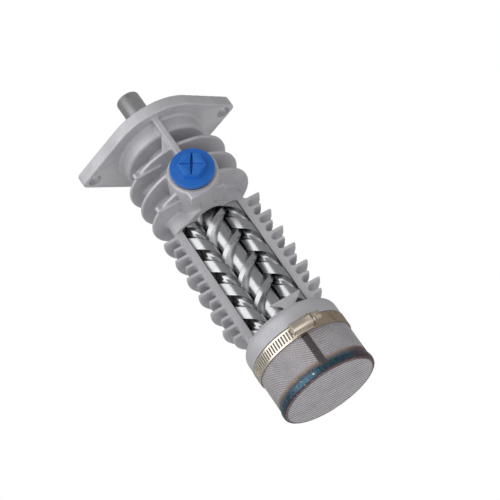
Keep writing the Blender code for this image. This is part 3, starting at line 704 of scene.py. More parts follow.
@dataclass(frozen=True)
class PlatedSteel:
    """Plated strip of the hose clamp, with a warm cast."""

    name: str = "plated_steel"
    colour: Colour = (0.80, 0.73, 0.63)
    tarnish: Colour = (0.36, 0.27, 0.17)
    roughness: float = 0.27

    def material(self) -> bpy.types.Material:
        """Build the material."""
        sketch = MaterialSketch(self.name)
        streaks = sketch.noise(sketch.stretch(sketch.place, (0.15, 0.15, 1.0)), 1900.0, 3.0, 0.6)
        patch = sketch.noise(sketch.place, 130.0, 5.0, 0.65)
        split = sketch.add("ShaderNodeSeparateXYZ")
        sketch.join(sketch.place, split.inputs[0])
        # The strip turns browner and darker towards +X; the streaks and patches are tarnish.
        browner_towards_plus_x = sketch.spread(split.outputs[0], -16 * MM, 30 * MM, 0.0, 0.75)
        streaked = sketch.math("ADD", browner_towards_plus_x, sketch.spread(streaks, 0.5, 0.8, 0.0, 0.3))
        tarnish = sketch.math("ADD", streaked, sketch.spread(patch, 0.5, 0.8, 0.0, 0.4), clamp=True)
        sketch.set(
            Base_Color=sketch.blend(tarnish, self.colour, self.tarnish),
            Metallic=1.0,
            Roughness=sketch.math("ADD", self.roughness, sketch.math("MULTIPLY", tarnish, 0.25)),
            Normal=sketch.bump(streaks, 0.015 * MM),
        )
        return sketch.material


class MeshRun(Enum):
    """How the wires of a mesh panel run."""

    ROUND_THE_SIDE = "side"
    ACROSS_THE_FLOOR = "floor"


@dataclass(frozen=True)
class WovenWire:
    """Fine stainless mesh of the strainer, tinted where it was welded."""

    run: MeshRun
    radius: float
    pitch: float = 0.85 * MM
    floor_turn: float = math.radians(-55.0)
    wire: Colour = (0.88, 0.85, 0.89)
    gap: Colour = (0.20, 0.18, 0.19)
    straw: Colour = (0.36, 0.22, 0.11)
    blue: Colour = (0.07, 0.15, 0.23)
    plum: Colour = (0.12, 0.07, 0.08)
    blue_top: float = 7.6 * MM
    straw_top: float = 10.8 * MM

    def material(self) -> bpy.types.Material:
        """Build the material."""
        sketch = MaterialSketch("woven_wire_" + self.run.value)
        split = sketch.add("ShaderNodeSeparateXYZ")
        sketch.join(sketch.place, split.inputs[0])
        x, y, z = split.outputs
        if self.run is MeshRun.ROUND_THE_SIDE:
            wires = 2 * round(FULL_TURN * self.radius / self.pitch / 2)
            angle = sketch.math("ARCTAN2", y, x)
            across = sketch.math("MULTIPLY", angle, wires / FULL_TURN)
            along = sketch.math("DIVIDE", z, self.pitch)
            wander = sketch.math("MULTIPLY", sketch.noise(sketch.place, 160.0, 3.0), 2.4 * MM)
            heat = sketch.math("ADD", z, sketch.math("SUBTRACT", wander, 1.2 * MM))
            tint = sketch.spread(heat, self.straw_top, self.blue_top + 0.6 * MM)
            bluing = sketch.spread(heat, self.blue_top + 0.8 * MM, self.blue_top - 0.6 * MM)
            run = 2.0
        else:
            turned = sketch.add("ShaderNodeVectorRotate", rotation_type="Z_AXIS")
            sketch.join(sketch.place, turned.inputs["Vector"])
            turned.inputs["Angle"].default_value = self.floor_turn
            flat = sketch.add("ShaderNodeSeparateXYZ")
            sketch.join(turned.outputs[0], flat.inputs[0])
            across = sketch.math("DIVIDE", flat.outputs[0], self.pitch)
            along = sketch.math("DIVIDE", flat.outputs[1], self.pitch)
            length = sketch.add("ShaderNodeVectorMath", operation="LENGTH")
            sketch.join(sketch.place, length.inputs[0])
            tint = sketch.spread(length.outputs["Value"], 0.935 * self.radius, 0.965 * self.radius)
            bluing = 0.0
            run = 5.5
        weave = sketch.group(GroupKind.WEAVE, Across=across, Along=along, Run=run)
        patch = sketch.noise(sketch.place, 70.0, 4.0, 0.55)
        shade_of_gap = sketch.math("MAXIMUM", weave.outputs["Pore"], sketch.spread(weave.outputs["Ridge"], 0.7, 0.1, 0.0, 0.85))
        body = sketch.blend(sketch.math("MULTIPLY", shade_of_gap, 0.85), self.wire, self.gap)
        body = sketch.blend(sketch.spread(patch, 0.4, 0.75, 0.0, 0.25), body, self.gap)
        rim_colour = self.straw if self.run is MeshRun.ROUND_THE_SIDE else self.plum
        body = sketch.blend(sketch.math("MULTIPLY", tint, 0.8), body, rim_colour)
        body = sketch.blend(sketch.math("MULTIPLY", bluing, 0.85), body, self.blue)
        # Near the weld the mesh turns darker plum towards +X.
        plum_towards_plus_x = sketch.math("MULTIPLY", tint, sketch.spread(x, 14 * MM, 27 * MM, 0.0, 0.8))
        body = sketch.blend(plum_towards_plus_x, body, self.plum)
        sketch.set(
            Base_Color=body,
            Metallic=0.6,
            Roughness=0.42,
            Normal=sketch.bump(weave.outputs["Height"], 0.32 * MM),
        )
        return sketch.material


@dataclass(frozen=True)
class HeatTint:
    """Steel coloured by the heat of the weld, blue in the middle and straw at its edges, with painted glints."""

    name: str = "weld_tint"
    low: float = 0.6 * MM
    high: float = 5.8 * MM
    blue: Colour = (0.035, 0.08, 0.115)
    pale_blue: Colour = (0.08, 0.17, 0.235)
    straw: Colour = (0.30, 0.19, 0.10)
    plum: Colour = (0.10, 0.06, 0.075)
    # Painted highlight: the colour of the glints.
    glint: Colour = (0.75, 0.74, 0.72)

    def material(self) -> bpy.types.Material:
        """Build the material."""
        sketch = MaterialSketch(self.name)
        split = sketch.add("ShaderNodeSeparateXYZ")
        sketch.join(sketch.place, split.inputs[0])
        wander = sketch.noise(sketch.place, 140.0, 4.0, 0.6)
        height = sketch.math("ADD", split.outputs[2], sketch.math("MULTIPLY", wander, 1.6 * MM))
        middle = (self.low + self.high) / 2 + 0.8 * MM
        off_middle = sketch.math("ABSOLUTE", sketch.math("SUBTRACT", height, middle))
        rim = sketch.spread(off_middle, 1.5 * MM, 2.5 * MM)
        foot = sketch.spread(height, 2.6 * MM, 1.9 * MM)
        ripple = sketch.noise(sketch.stretch(sketch.place, (1.0, 1.0, 0.25)), 900.0, 3.0, 0.6)
        body = sketch.blend(sketch.spread(ripple, 0.35, 0.7), self.blue, self.pale_blue)
        body = sketch.blend(sketch.math("MULTIPLY", rim, 0.5), body, self.straw)
        body = sketch.blend(foot, body, self.plum)
        # The bead turns darker plum towards +X.
        body = sketch.blend(sketch.spread(split.outputs[0], 15 * MM, 26 * MM, 0.0, 0.85), body, self.plum)
        # Painted glints: small pale spots where light catches the bead.
        painted_glints = sketch.spread(sketch.noise(sketch.place, 520.0, 3.0, 0.6), 0.66, 0.74)
        body = sketch.blend(painted_glints, body, self.glint)
        sketch.set(
            Base_Color=body,
            Metallic=0.85,
            Roughness=sketch.spread(ripple, 0.3, 0.7, 0.22, 0.42),
            Normal=sketch.bump(ripple, 0.12 * MM),
        )
        return sketch.material


@dataclass(frozen=True)
class DarkSeam:
    """Scorched lap seam down the strainer's side."""

    name: str = "dark_seam"
    colour: Colour = (0.10, 0.085, 0.09)
    bare: Colour = (0.24, 0.21, 0.21)

    def material(self) -> bpy.types.Material:
        """Build the material."""
        sketch = MaterialSketch(self.name)
        blobs = sketch.noise(sketch.place, 700.0, 4.0, 0.6)
        sketch.set(
            Base_Color=sketch.blend(sketch.spread(blobs, 0.5, 0.75), self.colour, self.bare),
            Metallic=0.6,
            Roughness=sketch.spread(blobs, 0.3, 0.7, 0.35, 0.6),
            Normal=sketch.bump(blobs, 0.15 * MM),
        )
        return sketch.material


@dataclass
class Casting:
    """The pump's one casting, fused from its forms and then milled and bored."""

    name: str = "pump_casting"
    voxel: float = 0.64 * MM
    most_triangles: int = 190000
    rotor_spacing: float = 15.4 * MM
    core_radius: float = 18.0 * MM
    core_half_length: float = 28.2 * MM
    core_half_width: float = 12.0 * MM
    flange_low: float = 226.6 * MM
    flange_high: float = 235.6 * MM
    hub_radius: float = 42.8 * MM
    flange_half_length: float = 62.1 * MM
    flange_edge_angle: float = math.radians(41.6)
    bolt_spacing: float = 106.4 * MM
    bolt_radius: float = 5.0 * MM
    neck_radius: float = 32.0 * MM
    neck_low: float = 215.0 * MM
    shaft_bore: float = 9.5 * MM
    fin_lowest: float = 73.9 * MM
    fin_pitch: float = 15.83 * MM
    fin_thickness: float = 2.4 * MM
    tall_radius: float = 38.9 * MM
    short_radius: float = 35.2 * MM
    mid_fins: int = 6
    upper_fins: int = 3
    upper_fin_thickness: float = 3.0 * MM
    upper_fin_depth: float = 35.4 * MM
    tie_face: float = -24.7 * MM
    tie_end: float = -31.0 * MM
    ear_radius: float = 1.7 * MM
    port_height: float = 174.5 * MM
    port_radius: float = 18.0 * MM
    port_face: float = -38.0 * MM
    port_bore: float = 11.5 * MM
    rib_half_width: float = 2.4 * MM
    rib_face: float = -37.5 * MM
    collar_high: float = 55.2 * MM
    collar_low: float = 30.0 * MM
    collar_radius: float = 35.6 * MM
    collar_shoulder: float = 39.9 * MM
    collar_edge: float = 8.0 * MM
    spigot_radius: float = 33.6 * MM
    collar_inner: float = 28.0 * MM
    collar_floor: float = 45.0 * MM
    window_low: float = 59.0 * MM
    window_high: float = 155.7 * MM
    cut_plane: float = -3.5 * MM
    chamber_high: float = 188.0 * MM
    drive_bore: float = 12.98 * MM
    idler_bore: float = 7.85 * MM
    seal_radius: float = 16.3 * MM
    seal_depth: float = 5.0 * MM

    def core(self, gap: float = 0.0, steps: int = 28) -> list[Point2]:
        """Outline of the casing's walls: an ellipse with a round middle.

        Args:
            gap: How far the outline is grown.
            steps: Chords along each arc.

        Returns:
            The outline's corners.
        """
        middle = self.core_radius + gap
        length = self.core_half_length + gap
        width = self.core_half_width + gap
        meet = math.sqrt(((middle / width) ** 2 - 1) / (1 / width**2 - 1 / length**2))
        side = math.acos(meet / length)
        top = math.acos(meet / middle)
        turns = [side * i / steps for i in range(-steps, steps + 1)]
        half = [(length * math.cos(turn), width * math.sin(turn)) for turn in turns]
        half += arc(middle, top, math.pi - top, steps)[1:-1]
        return half + [(-x, -y) for x, y in half]

    def bore_outline(self, steps: int = 40) -> list[Point2]:
        """Outline round the three rotor bores.

        Args:
            steps: Chords along each arc.

        Returns:
            The outline's corners.
        """
        centre_radius, lobe_radius = self.drive_bore, self.idler_bore
        side = self.rotor_spacing
        meet_x = (centre_radius**2 - lobe_radius**2 + side**2) / (2 * side)
        meet_y = math.sqrt(centre_radius**2 - meet_x**2)
        lobe_angle = math.atan2(meet_y, meet_x - side)
        centre_angle = math.atan2(meet_y, meet_x)
        half = arc(lobe_radius, -lobe_angle, lobe_angle, steps, (side, 0.0))
        half += arc(centre_radius, centre_angle, math.pi - centre_angle, steps)[1:-1]
        return half + [(-x, -y) for x, y in half]

    def flange_outline(self) -> list[Point2]:
        """Round hub with straight edges that run to two rounded tips."""
        edge = self.flange_edge_angle
        apex = self.hub_radius / math.sin(edge)
        tip_radius = (apex - self.flange_half_length) / (1 / math.sin(edge) - 1)
        turn = math.pi / 2 - edge
        half = arc(tip_radius, -turn, turn, 12, (self.flange_half_length - tip_radius, 0.0))
        half += arc(self.hub_radius, turn, math.pi - turn, 40)
        return half + [(-x, -y) for x, y in half]

    def add_fin(
        self, bm: bmesh.types.BMesh, radius: float, height: float, depth: float, thickness: float
    ) -> None:
        """Add a fin that tapers towards its rim and runs into the wall in a fillet.

        Args:
            bm: Mesh that the fin is added to.
            radius: Radius of the rim, across the flange's length.
            height: Height of the fin's middle.
            depth: Radius of the rim towards the port.
            thickness: Thickness halfway out.
        """
        half = thickness / 2
        root = half + 0.5 * MM
        rim = half - 0.3 * MM
        inner = 0.45 * self.core_radius
        profile = [
            (inner, height + root),
            (radius, height + rim),
            (radius, height - rim),
            (inner, height - root),
        ]
        before = set(bm.verts)
        turn_profile(bm, profile, 144)
        made = [vert for vert in bm.verts if vert not in before]
        bmesh.ops.scale(bm, vec=(1.0, depth / radius, 1.0), verts=made)
        for reach, rise in ((0.5 * MM, 1.0 * MM), (1.0 * MM, 0.5 * MM)):
            raise_outline(bm, self.core(reach), height - half - rise, height + half + rise)

    def add_tie(self, bm: bmesh.types.BMesh, height: float) -> None:
        """Add the bar and the ear that stiffen an upper fin on the left.

        Args:
            bm: Mesh that they are added to.
            height: Height of the fin's middle.
        """
        under = height - self.fin_thickness / 2
        low = (self.tie_end, self.tie_face, under - 2.0 * MM)
        add_block(bm, low, (-12.0 * MM, self.tie_face + 1.9 * MM, under + 1.0 * MM))
        spot = Vector((self.tie_end - 1.0 * MM, self.tie_face + 1.2 * MM, 0.0))
        low_end = spot + Vector((0.0, 0.0, under - 1.4 * MM))
        high_end = spot + Vector((0.0, 0.0, height + self.fin_thickness / 2 + 0.5 * MM))
        add_rod(bm, self.ear_radius, low_end, high_end, 24)

    def rough_form(self) -> bpy.types.Object:
        """All the raised forms as closed shells that run into each other."""
        bm = bmesh.new()
        raise_outline(bm, self.flange_outline(), self.flange_low, self.flange_high)
        edge = 2.5 * MM
        under = self.flange_low
        neck = [(6 * MM, under + 2 * MM), (self.neck_radius + 1.2 * MM, under + 2 * MM)]
        neck += [(self.neck_radius + 1.2 * MM, under - 0.5 * MM), (self.neck_radius, under - 1.6 * MM)]
        neck += [
            (self.neck_radius - edge + x, self.neck_low + edge + z)
            for x, z in arc(edge, 0.0, -math.pi / 2, 6)
        ]
        neck.append((6 * MM, self.neck_low))
        turn_profile(bm, neck, 144)
        raise_outline(bm, self.core(), self.collar_high - 5 * MM, self.neck_low + 3 * MM)
        thin = self.fin_thickness
        for i in range(self.mid_fins):
            height = self.fin_lowest + i * self.fin_pitch
            self.add_fin(bm, self.tall_radius, height, self.tall_radius, thin)
            self.add_fin(bm, self.short_radius, height - self.fin_pitch / 2, self.short_radius, thin)
        for i in range(self.upper_fins):
            height = self.fin_lowest + (self.mid_fins + i) * self.fin_pitch
            self.add_fin(bm, self.tall_radius, height, self.upper_fin_depth, self.upper_fin_thickness)
            if i != 1:
                self.add_tie(bm, height)
        self.add_port(bm)
        self.add_collar(bm)
        return new_object(self.name, bm)

    def add_port(self, bm: bmesh.types.BMesh) -> None:
        """Add the port's boss with its lug, foot and shelf, and the rib above it."""
        height = self.port_height
        rim = Vector((0, self.port_face + 1.2 * MM, height))
        add_rod(bm, self.port_radius, Vector((0, -4 * MM, height)), rim, 96)
        add_rod(bm, self.port_radius, rim, Vector((0, self.port_face, height)), 96, 17.1 * MM)
        low = 154.3 * MM
        add_block(bm, (-12.0 * MM, self.port_face + 0.3 * MM, low), (-4.2 * MM, -28 * MM, 166 * MM))
        add_block(bm, (-4.2 * MM, self.port_face + 0.6 * MM, low), (4.5 * MM, -14 * MM, 166 * MM))
        add_block(bm, (4.0 * MM, -28.0 * MM, 159.0 * MM), (16.0 * MM, -14 * MM, 168 * MM))
        half = self.rib_half_width
        add_block(bm, (-half, self.rib_face, height + 10 * MM), (half, -10 * MM, self.flange_low + 2 * MM))
        fin = self.fin_lowest + (self.mid_fins + self.upper_fins - 1) * self.fin_pitch
        web = [
            (-half - 7.0 * MM, fin + 0.5 * MM),
            (0.0, fin + 0.5 * MM),
            (0.0, fin + 13.5 * MM),
            (-half - 1.2 * MM, fin + 11.0 * MM),
        ]
        raise_outline(bm, web, -34.9 * MM, -31.6 * MM, upright=True)

    def bridge(self) -> bpy.types.Object:
        """The flat bridge at the foot of the window, in front of the screws."""
        bm = bmesh.new()
        top = 68.3 * MM
        outline = [
            (-4.8 * MM, top),
            (-2.2 * MM, 66.2 * MM),
            (0.6 * MM, 64.3 * MM),
            (2.2 * MM, 62.8 * MM),
            (2.8 * MM, 61.0 * MM),
            (2.6 * MM, self.window_low - 0.4 * MM),
            (10.4 * MM, self.window_low - 0.4 * MM),
            (10.5 * MM, 61.0 * MM),
            (13.6 * MM, 62.9 * MM),
            (16.6 * MM, 65.0 * MM),
            (18.4 * MM, 66.9 * MM),
            (18.8 * MM, top - 0.3 * MM),
        ]
        raise_outline(bm, outline, -15.8 * MM, -13.8 * MM, upright=True)
        soften(bm, 0.4 * MM, 3, math.radians(60.0))
        bridge = new_object("window_bridge_cast", bm)
        shade(bridge, 38.0)
        return bridge

    def add_collar(self, bm: bmesh.types.BMesh) -> None:
        """Add the round collar that the strainer slides on."""
        edge = self.collar_edge
        top = self.collar_high
        profile = [(0.0, top)]
        profile += [
            (self.collar_radius - edge + x, top - edge + z) for x, z in arc(edge, math.pi / 2, 0.0, 14)
        ]
        profile += [
            (self.collar_radius, self.collar_shoulder),
            (self.spigot_radius, self.collar_shoulder),
            (self.spigot_radius, self.collar_low),
            (self.collar_inner, self.collar_low),
            (self.collar_inner, self.collar_floor),
            (0.0, self.collar_floor),
        ]
        turn_profile(bm, profile, 144, closed=False)

    def cutters(self) -> list[bpy.types.Object]:
        """The window, bores and holes that are cut into the fused casting."""
        window = bmesh.new()
        reach = self.flange_half_length
        add_block(window, (-reach, -reach, self.window_low), (reach, self.cut_plane, self.window_high))
        bores = bmesh.new()
        raise_outline(bores, self.bore_outline(), self.collar_floor - 5 * MM, self.chamber_high)
        shaft = bmesh.new()
        add_rod(shaft, self.shaft_bore, Vector((0, 0, 0.15)), Vector((0, 0, 0.25)), 96)
        seal = bmesh.new()
        seal_low = self.flange_high - self.seal_depth
        add_rod(seal, self.seal_radius, Vector((0, 0, seal_low)), Vector((0, 0, 0.25)), 96)
        port = bmesh.new()
        centre = Vector((0, 0, self.port_height))
        add_rod(port, self.port_bore, centre + Vector((0, -0.06, 0)), centre, 96)
        made = [
            new_object("cut_window", window),
            new_object("cut_bores", bores),
            new_object("cut_shaft", shaft),
            new_object("cut_seal", seal),
            new_object("cut_port", port),
        ]
        for side in (-1, 1):
            bolt = bmesh.new()
            x = side * self.bolt_spacing / 2
            add_rod(bolt, self.bolt_radius, Vector((x, 0, 0.21)), Vector((x, 0, 0.25)), 64)
            made.append(new_object("cut_bolt", bolt))
        return made

    def mark_milled(self, mesh: bpy.types.Mesh) -> None:
        """Give the faces that a tool has cut the second material."""
        reach = 0.05 * MM
        for face in mesh.polygons:
            centre = face.center
            in_window = self.window_low - reach < centre.z < self.window_high + reach
            on_cut = abs(centre.y - self.cut_plane) < reach and face.normal.y < -0.99 and in_window
            ledges = centre.y < self.cut_plane and abs(face.normal.z) > 0.99
            on_ledge = ledges and min(
                abs(centre.z - self.window_low), abs(centre.z - self.window_high)
            ) < reach
            radius = math.hypot(centre.x, centre.y)
            in_bore = radius < self.rotor_spacing + self.idler_bore and abs(centre.y) < self.drive_bore + reach
            off_idler = math.hypot(abs(centre.x) - self.rotor_spacing, centre.y)
            bored = in_bore and abs(face.normal.z) < 0.1 and off_idler < 9 * MM
            bored = bored and centre.z < self.chamber_high
            if on_cut or on_ledge or bored:
                face.material_index = 1

    def build(self) -> bpy.types.Object:
        """Fuse the forms, cut them and thin out the mesh.

        Returns:
            The finished casting.
        """
        casting = self.rough_form()
        fuse = casting.modifiers.new("fuse", "REMESH")
        fuse.mode = "VOXEL"
        fuse.voxel_size = self.voxel
        smooth = casting.modifiers.new("smooth", "SMOOTH")
        smooth.factor = 0.5
        smooth.iterations = 3
        tools = self.cutters()
        for tool in tools:
            cut = casting.modifiers.new("cut", "BOOLEAN")
            cut.operation = "DIFFERENCE"
            cut.solver = "MANIFOLD"
            cut.object = tool
        apply_modifiers(casting)
        for tool in tools:
            bpy.data.objects.remove(tool, do_unlink=True)
        triangles = sum(len(face.vertices) - 2 for face in casting.data.polygons)
        LOG.info("casting before thinning: %d triangles", triangles)
        thin = casting.modifiers.new("thin", "DECIMATE")
        thin.ratio = min(1.0, self.most_triangles / triangles)
        apply_modifiers(casting)
        shade(casting, 38.0)
        self.mark_milled(casting.data)
        skin = CastSkin().material()
        nodes = [node for node in FRAME["nodes"] if self.stands_for(node)]
        mount_piece(self.bridge(), Body.CASING, [skin], ["window_bridge"])
        return mount_piece(
            casting, Body.CASING, [skin, MilledFace().material()], nodes
        )

    @staticmethod
    def stands_for(node: str) -> bool:
        """Whether the casting stands for a CAD node."""
        slots = {entry["node"]: entry["material_slot"] for entry in FRAME["record"]["subparts"]}
        return slots[node] == "cast_casing" and node != "window_bridge"


@dataclass
class Rotors:
    """The drive screw with its shaft, and the two idlers that mesh with it."""

    spacing: float = 15.4 * MM
    lead: float = 42.0 * MM
    starts: int = 2
    crest_half_angle: float = math.radians(17.0)
    clearance: float = 0.22 * MM
    low: float = 45.0 * MM
    high: float = 165.0 * MM
    phase: float = math.radians(118.0)
    steps_per_turn: int = 84
    shaft_radius: float = 9.0 * MM
    shaft_high: float = 274.2 * MM
    shaft_chamfer: float = 1.0 * MM

    @property
    def pitch_radius(self) -> float:
        """Radius of the pitch circles."""
        return self.spacing / 2

    @property
    def outer_radius(self) -> float:
        """Radius of the drive screw's crests."""
        return self.spacing * 5 / 6

    def drive_flank(self, radius: float) -> float:
        """Angle from a drive flank's foot to a point at a radius."""
        unit = radius / self.pitch_radius
        roll = math.acos(max(-1.0, min(1.0, (5.0 - unit**2) / 4.0)))
        return math.atan2(2 * math.sin(roll) - math.sin(2 * roll), 2 * math.cos(roll) - math.cos(2 * roll))

    def idler_flank(self, radius: float) -> float:
        """Angle from an idler groove's root corner to a point at a radius."""
        unit = radius / self.pitch_radius
        tip = self.outer_radius / self.pitch_radius
        roll = math.acos(max(-1.0, min(1.0, (4.0 + tip**2 - unit**2) / (4.0 * tip))))
        x = 2 * math.cos(roll) - tip * math.cos(2 * roll)
        y = 2 * math.sin(roll) - tip * math.sin(2 * roll)
        return abs(math.atan2(y, x))

    def repeated(self, points: Sequence[Point2]) -> list[Point2]:
        """Repeat one start's (radius, angle) points round the section, as (x, y)."""
        section = []
        for start in range(self.starts):
            turn = FULL_TURN * start / self.starts
            section += [(radius * math.cos(angle + turn), radius * math.sin(angle + turn)) for radius, angle in points]
        return section

    def root(self, foot: float, steps: int = 10) -> list[Point2]:
        """Points on the pitch circle between two flanks."""
        step = (math.pi - 2 * foot) / steps
        return [(self.pitch_radius, foot + step * i) for i in range(1, steps)]

    def drive_section(self) -> list[Point2]:
        """The drive screw's section: two teeth on a round core."""
        foot = self.crest_half_angle + self.drive_flank(self.outer_radius)
        side = [(self.pitch_radius, foot)]
        for share in (0.04, 0.12, 0.25, 0.4, 0.55, 0.7, 0.85, 1.0):
            radius = self.pitch_radius + (self.outer_radius - self.pitch_radius) * share
            side.append((radius, foot - self.drive_flank(radius)))
        crest = [(self.outer_radius, self.crest_half_angle * i / 4) for i in range(-3, 4)]
        points = [(radius, -angle) for radius, angle in side] + crest
        points += [(radius, angle) for radius, angle in reversed(side)]
        return self.repeated(points + self.root(foot))

    def idler_section(self) -> list[Point2]:
        """An idler's section: two hollow grooves between broad crests."""
        root_radius = self.spacing - self.outer_radius
        groove = []
        for share in (0.0, 0.12, 0.25, 0.4, 0.55, 0.7, 0.85, 1.0):
            radius = root_radius + (self.pitch_radius - root_radius) * share
            groove.append((radius, self.crest_half_angle + self.idler_flank(radius)))
        points = [(radius, -angle) for radius, angle in reversed(groove)]
        points += [(root_radius, self.crest_half_angle * i / 3) for i in range(-2, 3)]
        points += groove
        return self.repeated(points + self.root(groove[-1][1]))

    def inset(self, section: Sequence[Point2]) -> list[Point2]:
        """Move each corner of a section inwards by the running clearance."""
        moved = []
        for i, corner in enumerate(section):
            here = Vector(corner)
            first = (here - Vector(section[i - 1])).normalized()
            second = (Vector(section[(i + 1) % len(section)]) - here).normalized()
            inward = Vector((-(first.y + second.y), first.x + second.x)).normalized()
            lean = max(0.5, inward.dot(Vector((-first.y, first.x))))
            moved.append(tuple(here + inward * (self.clearance / lean)))
        return moved

    def sweep(self, bm: bmesh.types.BMesh, section: Sequence[Point2], lead: float, phase: float, centre: float) -> None:
        """Sweep a section up a helix round an upright axis.

        Args:
            bm: Mesh that the screw is added to.
            section: Corners of the section, round its own middle.
            lead: Rise in one turn, negative for a left-hand screw.
            phase: Turn of the lowest section.
            centre: X of the axis.
        """
        height = self.high - self.low
        steps = round(abs(height / lead) * self.steps_per_turn)
        face = bm.faces.new([bm.verts.new((x + centre, y, self.low)) for x, y in section])
        bmesh.ops.rotate(bm, verts=face.verts[:], cent=(centre, 0, 0), matrix=Matrix.Rotation(phase, 3, "Z"))
        bmesh.ops.spin(
            bm,
            geom=[face, *face.edges, *face.verts],
            cent=(centre, 0.0, 0.0),
            axis=(0.0, 0.0, 1.0),
            dvec=(0.0, 0.0, height / steps),
            angle=FULL_TURN * height / lead,
            steps=steps,
            use_merge=False,
            use_duplicate=False,
        )
        bottom = [edge for edge in bm.edges if edge.is_boundary and edge.verts[0].co.z < self.low + 0.01 * MM]
        if bottom:
            bmesh.ops.contextual_create(bm, geom=bottom)

    def build(self) -> list[bpy.types.Object]:
        """Build the three rotors.

        Returns:
            The drive screw and the two idlers.
        """
        steel = GroundSteel().material()
        bm = bmesh.new()
        self.sweep(bm, self.inset(self.drive_section()), self.lead, self.phase, 0.0)
        chamfer = self.shaft_chamfer
        shoulder = self.high + 6 * MM
        journal = self.pitch_radius - 1 * MM
        shaft = [
            (0.0, self.shaft_high),
            (self.shaft_radius - chamfer, self.shaft_high),
            (self.shaft_radius - 0.3 * chamfer, self.shaft_high - 0.3 * chamfer),
            (self.shaft_radius, self.shaft_high - chamfer),
            (self.shaft_radius, shoulder),
            (journal, shoulder),
            (journal, self.high - 0.5 * MM),
            (0.0, self.high - 0.5 * MM),
        ]
        turn_profile(bm, shaft, 96, closed=False)
        drive = new_object("drive_screw_ground", bm)
        shade(drive, 30.0)
        pieces = [mount_piece(drive, Body.DRIVE, [steel], ["drive_screw"])]
        for side, sign, body in (("left", -1, Body.LEFT_IDLER), ("right", 1, Body.RIGHT_IDLER)):
            bm = bmesh.new()
            self.sweep(bm, self.inset(self.idler_section()), -self.lead, -self.phase, sign * self.spacing)
            idler = new_object("idler_%s_ground" % side, bm)
            shade(idler, 30.0)
            pieces.append(mount_piece(idler, body, [steel], ["idler_screw_" + side]))
        return pieces


@dataclass
class PortPlug:
    """The blue plug that closes the outlet port."""

    height: float = 174.5 * MM
    back: float = -39.8 * MM
    disc_radius: float = 15.6 * MM
    disc_thickness: float = 3.2 * MM
    hex_radius: float = 9.9 * MM
    hex_draft: float = 0.8 * MM
    hex_height: float = 5.2 * MM
    slot_end_width: float = 0.35 * MM
    slot_belly: float = 0.65 * MM
    slot_depth: float = 3.2 * MM
    groove_half_width: float = 0.35 * MM
    shank_radius: float = 11.2 * MM
    shank_length: float = 12.0 * MM
    turn: float = math.radians(31.4)

    def build(self) -> bpy.types.Object:
        """Build the plug: disc, hexagon with its slots, and shank.

        Returns:
            The plug.
        """
        bm = bmesh.new()
        round_over = 0.7 * MM
        face = self.disc_thickness
        disc = [(0.0, -self.shank_length), (self.shank_radius, -self.shank_length), (self.shank_radius, 0.0)]
        disc += [(self.disc_radius, 0.0), (self.disc_radius, face - round_over)]
        disc += [
            (self.disc_radius - round_over + x, face - round_over + z)
            for x, z in arc(round_over, 0.0, math.pi / 2, 5)
        ]
        disc.append((0.0, face))
        turn_profile(bm, disc, 96, closed=False)
        plug = new_object("outlet_plug_moulded", bm)
        top = face + self.hex_height
        hexagon = bmesh.new()
        foot = Vector((0, 0, face - 1 * MM))
        add_rod(hexagon, self.hex_radius + self.hex_draft, foot, Vector((0, 0, top)), 6, self.hex_radius)
        turn_hex = Matrix.Rotation(math.radians(30.0), 3, "Z")
        bmesh.ops.rotate(hexagon, verts=hexagon.verts, cent=(0, 0, 0), matrix=turn_hex)
        soften(hexagon, 0.45 * MM, 3, math.radians(20.0))
        slots = bmesh.new()
        reach = self.hex_radius * 0.84
        shares = [i / 12 for i in range(-12, 13)]
        side = [
            (self.slot_end_width + self.slot_belly * math.cos(share * math.pi / 2), share * reach)
            for share in shares
        ]
        lens = side + [(-x, -y) for x, y in side]
        raise_outline(slots, lens, top - self.slot_depth, top + 2 * MM)
        groove = self.groove_half_width
        add_block(slots, (-reach, -groove, top - 0.9 * MM), (reach, groove, top + 3 * MM))
        tools = [(new_object("join_hexagon", hexagon), "UNION"), (new_object("cut_slots", slots), "DIFFERENCE")]
        for tool, operation in tools:
            step = plug.modifiers.new(operation.lower(), "BOOLEAN")
            step.operation = operation
            step.solver = "EXACT"
            step.use_self = operation == "DIFFERENCE"
            step.object = tool
        apply_modifiers(plug)
        for tool, _ in tools:
            bpy.data.objects.remove(tool, do_unlink=True)
        lie = Matrix.Rotation(math.pi / 2, 4, "X") @ Matrix.Rotation(-self.turn, 4, "Z")
        plug.data.transform(Matrix.Translation((0.0, self.back, self.height)) @ lie)
        rim = plug.modifiers.new("rim", "BEVEL")
        rim.width = 0.18 * MM
        rim.segments = 2
        rim.limit_method = "ANGLE"
        rim.angle_limit = math.radians(40.0)
        apply_modifiers(plug)
        shade(plug, 35.0)
        return mount_piece(plug, Body.CASING, [MouldedPlastic().material()], ["outlet_plug"])


